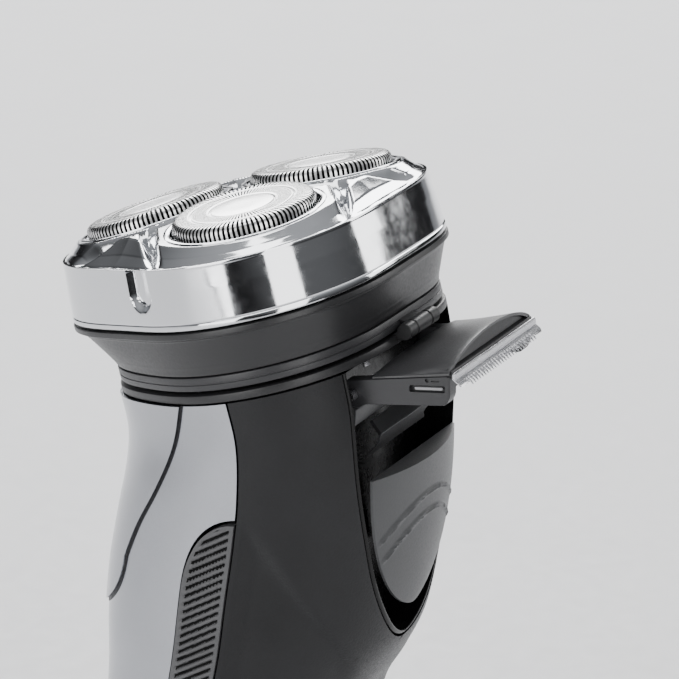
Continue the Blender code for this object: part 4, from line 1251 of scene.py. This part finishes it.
@dataclass
class Trimmer(SubAssembly):
    """Fold-out trimmer: side arms, arched cover and fine comb."""

    body = "trimmer"
    arm_half: float = 15.35
    arm_inner: float = 13.0
    arm_side: tuple[tuple[float, float], ...] = (
        (24.0, 129.8), (24.6, 130.8), (25.6, 131.0), (41.9, 133.9), (42.0, 130.6), (41.3, 129.2),
        (27.9, 127.4),
        (26.8, 126.7), (25.2, 126.8), (24.0, 128.0))
    pivot: tuple[float, float] = (26.0, 128.8)
    bar_y: float = 38.9
    cover_y: tuple[float, float] = (29.0, 41.9)
    comb_y: float = 42.4
    slope: float = math.radians(34)

    def arm_top(self, y: float) -> float:
        """Height of the arms' top edge."""
        return 131.0 + (y - 25.6) * 2.9 / 16.3

    def build(self) -> None:
        """Make the trimmer."""
        self.yoke()
        self.cover()
        self.comb()
        self.moving_blade()

    def yoke(self) -> None:
        """Two side arms joined by a bar, with a slot and a dimple in each arm's outer face."""
        side = rounded(self.arm_side, 0.5)
        solid = extruded_x(side, -self.arm_half, self.arm_half, 0.18)
        yoke = solid.piece("trimmer_yoke")
        window = extruded_x([(20.0, 120.0), (self.bar_y, 120.0), (self.bar_y, 140.0), (20.0, 140.0)],
                            -self.arm_inner, self.arm_inner, 0.01).piece("tool")
        under = extruded_x([(self.bar_y - 1.0, 120.0), (44.0, 120.0), (44.0, 131.7),
                            (self.bar_y - 1.0, 131.7)],
                           -self.arm_inner, self.arm_inner, 0.01).piece("tool")
        pin = [(self.pivot[0] + 0.85 * math.cos(a), self.pivot[1] + 0.85 * math.sin(a))
               for a in spread(0.0, 2 * math.pi, 24)[:-1]]
        tools = [window, under, extruded_x(pin, -20.0, 20.0, 0.01).piece("tool")]
        slot = rounded(((35.3, 130.55), (41.2, 131.2), (41.2, 132.3), (35.3, 131.65)), 0.35)
        dimple = [(38.2 + 0.32 * math.cos(a), 132.75 + 0.32 * math.sin(a)) for a in spread(0.0,
                                                                                           2 * math.pi,
                                                                                           16)[:-1]]
        dash = ((38.9, 132.62), (40.2, 132.8), (40.2, 133.0), (38.9, 132.82))
        for sign in (-1, 1):
            face = sign * self.arm_half
            for shape, depth in ((slot, 0.8), (dimple, 0.35), (dash, 0.25)):
                ends = sorted((face - sign * depth, face + sign * 0.5))
                tools.append(extruded_x(shape, *ends, 0.01).piece("tool"))
        self.keep(soften(carve(yoke, *tools), 0.1), DARK_GREY, "trimmer_frame")
        # Thin light grey rib in each arm's slot: painted highlight standing in for the light caught along the
        # rib.
        rib = rounded(((36.1, 131.0), (40.7, 131.5), (40.7, 131.9), (36.1, 131.4)), 0.15)
        for name, sign in (("right", 1), ("left", -1)):
            ends = sorted((sign * (self.arm_half - 0.9), sign * (self.arm_half - 0.12)))
            self.keep(extruded_x(rib, *ends).piece(f"arm_rib_{name}"), RIB_HIGHLIGHT_GREY)

    def arch(self, y: float, draw: float = 0.0, raise_base: float = 0.0, back: float = 0.0) -> list[Point]:
        """Arched outline across the cover.

        Args:
            y: place along the trimmer.
            draw: how far the arch is drawn in.
            raise_base: how far its straight edge is lifted.
            back: how far the outline is set back.

        Returns:
            Its points, from the right base over the top to the left base.
        """
        u = (y - self.cover_y[0]) / (self.cover_y[1] - self.cover_y[0])
        rise = 0.8 + 2.75 * u ** 0.85
        low = self.arm_top(y) + 0.12
        half = 15.37 - draw
        base = low + raise_base
        points = [(half, y - back, base)]
        for a in spread(0.0, math.pi, 56):
            top = low + 0.25 + rise * math.sin(a) ** 1.35 - draw
            points.append((half * math.cos(a), y - back, max(top, base)))
        points.append((-half, y - back, base))
        return points

    def cover(self) -> None:
        """Arched matt cover with a sunk lens-shaped front."""
        rings = [self.arch(self.cover_y[0], 0.25, 0.0, 0.0)]
        rings += [self.arch(y) for y in spread(self.cover_y[0] + 0.2, self.cover_y[1] - 0.25, 26)]
        front = self.cover_y[1]
        rings += [self.arch(front, 0.03), self.arch(front, 0.14), self.arch(front, 0.46, 0.7)]
        rings += [self.arch(front, 0.5, 0.74, 0.7)]
        self.keep(lofted(rings).piece("trimmer_hood", crease=38.0), HOOD_BLACK, "trimmer_cover")
        lens = lofted([self.arch(front, 0.56, 0.8, 0.75), self.arch(front, 0.56, 0.8, 0.5),
                       self.arch(front, 0.7, 0.95, 0.4)])
        self.keep(lens.piece("hood_face", crease=50.0), DARK_GREY)
        strip = ((41.6, 133.62), (42.25, 133.62), (42.3, 134.3), (42.1, 134.7), (41.6, 134.7))
        self.keep(extruded_x(rounded(strip, 0.1), -14.9, 14.9).piece("hood_front_strip"), DARK_GREY)

    def toothed(self, half: float, teeth_half: float, pitch: float, root: float, tip: float, thick: float,
                z: float) -> Solid:
        """Sloping plate with fine teeth between two plain ends.

        Args:
            half: half of its whole width.
            teeth_half: half of the toothed width.
            pitch: distance between teeth.
            root: how far out the teeth start.
            tip: how far out they end.
            thick: thickness of the plate.
            z: height of its upper rear edge.

        Returns:
            The closed solid.
        """
        count = int(2 * teeth_half / pitch)
        start = -count * pitch / 2
        plain = (tip + root) / 2
        outline = [(-half, 0.0), (-half, plain - 0.3), (-half + 0.4, plain), (start - 0.4, plain),
                   (start, root)]
        for k in range(count):
            x = start + k * pitch
            outline += [(x + 0.25 * pitch, root), (x + 0.30 * pitch, tip - 0.15), (x + 0.42 * pitch, tip),
                        (x + 0.58 * pitch, tip), (x + 0.70 * pitch, tip - 0.15), (x + 0.75 * pitch, root)]
        outline += [(-start, root), (-start + 0.4, plain), (half - 0.4, plain), (half, plain - 0.3),
                    (half, 0.0)]
        c, s = math.cos(self.slope), math.sin(self.slope)
        rings = []
        for t in (0.0, -thick):
            rings.append([(x, self.comb_y + d * c - t * s, z - d * s + t * c) for x, d in outline])
        return lofted(rings)

    def comb(self) -> None:
        """Fixed steel comb with a folded upper strip."""
        plate = self.toothed(15.3, 12.6, 0.95, 1.0, 2.1, 0.4, 133.6)
        fold = extruded_x(rounded(((42.32, 133.35), (42.8, 133.3), (42.8, 134.25), (42.5, 134.5),
                                   (42.32, 134.4)),
                                  0.1), -15.3, 15.3)
        plate.add(fold.points, fold.faces)
        self.keep(plate.piece("steel_comb", crease=20.0), STEEL, "trimmer_comb")

    def moving_blade(self) -> None:
        """Blade that runs to and fro under the comb."""
        blade = self.toothed(13.4, 12.2, 1.4, 0.5, 1.0, 0.35, 132.9)
        self.keep(blade.piece("steel_moving_blade", crease=20.0), STEEL, "trimmer_moving_blade",
                  body="trimmer_blade")


# ---------------------------------------------------------------- inner works and studio

@dataclass
class InnerWorks:
    """Finishes of the frame's own nodes that stay on show inside and under the shaver."""

    finishes: dict[Finish, tuple[str, ...]] = field(default_factory=lambda: {
        WHITE: ("chassis", "power_switch", "driven_gear_1", "driven_gear_2", "driven_gear_3"),
        CELL_WRAP: ("battery_cell_1", "battery_cell_2"),
        BRASS: ("socket_pin_1", "socket_pin_2", "battery_contact_1", "battery_contact_2", "motor_pinion"),
        BOARD: ("circuit_board",),
        BLACK: ("charging_socket", "slider_carriage"),
        RUBBER: ("seal_ring",),
        DARK_GREY: ("retaining_frame", "lock_knob", "gear_deck", "gear_cover"),
        SPUN_STEEL: ("base_screw_1", "base_screw_2", "deck_screw_1", "deck_screw_2", "deck_screw_3",
                     "motor_can",
                     "motor_shaft", "drive_spindle_1", "drive_spindle_2", "drive_spindle_3", "cutter_1",
                     "cutter_2", "cutter_3", "head_hinge_pin", "trimmer_hinge_pin"),
    })

    def build(self) -> None:
        """Give each node its finish."""
        for finish, names in self.finishes.items():
            for name in names:
                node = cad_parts[name]
                node.data.materials.clear()
                node.data.materials.append(finish.material())
                LOG.info("%s is dressed in %s", name, finish.name)


@dataclass
class Studio:
    """Pale floor, soft lights and the camera."""

    camera_at: Point = (0.598592, 0.304387, 0.350953)
    camera_back: Point = (0.8556, 0.4118, 0.3136)
    lens: float = 239.5

    def build(self) -> None:
        """Set up the floor, the lights, the surroundings and the camera."""
        self.floor()
        self.lights()
        self.surroundings()
        self.camera()

    def floor(self) -> None:
        """Plain pale floor."""
        bpy.ops.mesh.primitive_plane_add(size=8.0, location=(0.0, 0.0, 0.0))
        floor = bpy.context.object
        floor.name = "floor"
        finish = Finish("floor", "pale_floor", (0.78, 0.78, 0.79), 0.0, 0.55, size=4.0, depth=0.0,
                        mottle=0.01)
        floor.data.materials.append(finish.material())

    def area(self, name: str, at: Point, aim: Point, size: tuple[float, float], power: float) -> None:
        """Soft rectangular light.

        Args:
            name: the light's name.
            at: where it hangs, in metres.
            aim: the point that it faces.
            size: its width and height.
            power: its power in watts.
        """
        data = bpy.data.lights.new(name, "AREA")
        data.shape = "RECTANGLE"
        data.size, data.size_y = size
        data.energy = power
        lamp = bpy.data.objects.new(name, data)
        bpy.context.scene.collection.objects.link(lamp)
        lamp.location = at
        lamp.rotation_euler = (Vector(aim) - Vector(at)).to_track_quat("-Z", "Y").to_euler()

    def around(self, azimuth: float, distance: float, height: float) -> Point:
        """Point on a circle about the shaver, in metres."""
        a = math.radians(azimuth)
        return (distance * math.cos(a), distance * math.sin(a), height)

    def lights(self) -> None:
        """Tall soft boxes left and right of the camera, two towards the rear, and one overhead."""
        middle = (0.0, 0.0, 0.12)
        self.area("left_box", self.around(-22.0, 1.2, 0.5), middle, (0.9, 1.0), 11.0)
        self.area("right_box", self.around(52.0, 1.2, 0.5), middle, (0.65, 1.0), 7.0)
        self.area("back_box", self.around(205.0, 1.3, 0.8), middle, (1.2, 0.8), 26.0)
        self.area("rear_box", self.around(140.0, 1.2, 0.6), middle, (0.4, 0.8), 4.0)
        self.area("overhead_box", (-0.1, -0.3, 1.3), (0.0, 0.0, 0.1), (0.6, 0.6), 5.0)

    def surroundings(self) -> None:
        """Even surroundings, dim at the horizon and lighter overhead."""
        world = bpy.data.worlds.new("studio")
        world.use_nodes = True
        tree = world.node_tree
        split = tree.nodes.new("ShaderNodeSeparateXYZ")
        tree.links.new(tree.nodes.new("ShaderNodeTexCoord").outputs["Generated"], split.inputs["Vector"])
        ramp = tree.nodes.new("ShaderNodeValToRGB")
        ramp.color_ramp.elements[0].position = 0.05
        ramp.color_ramp.elements[0].color = (0.03, 0.03, 0.032, 1.0)
        ramp.color_ramp.elements[1].position = 0.85
        ramp.color_ramp.elements[1].color = (0.75, 0.77, 0.8, 1.0)
        tree.links.new(split.outputs["Z"], ramp.inputs["Fac"])
        background = tree.nodes["Background"]
        tree.links.new(ramp.outputs["Color"], background.inputs["Color"])
        background.inputs["Strength"].default_value = 0.6
        bpy.context.scene.world = world

    def camera(self) -> None:
        """Long-lens camera that looks at the flank and the rear from a little above."""
        data = bpy.data.cameras.new("camera")
        data.lens = self.lens
        data.sensor_width = 36.0
        data.clip_end = 20.0
        camera = bpy.data.objects.new("camera", data)
        bpy.context.scene.collection.objects.link(camera)
        camera.location = self.camera_at
        camera.rotation_euler = (-Vector(self.camera_back)).to_track_quat("-Z", "Y").to_euler()
        bpy.context.scene.camera = camera


def main() -> None:
    """Build the sub-assemblies in order."""
    logging.basicConfig(level=logging.INFO, format="%(name)s: %(message)s")
    for group in (Housing(), Controls(), Foot(), RearRecess(), ShavingHead(), Trimmer(), InnerWorks(),
                  Studio()):
        group.build()


if __name__ == "__main__":
    main()
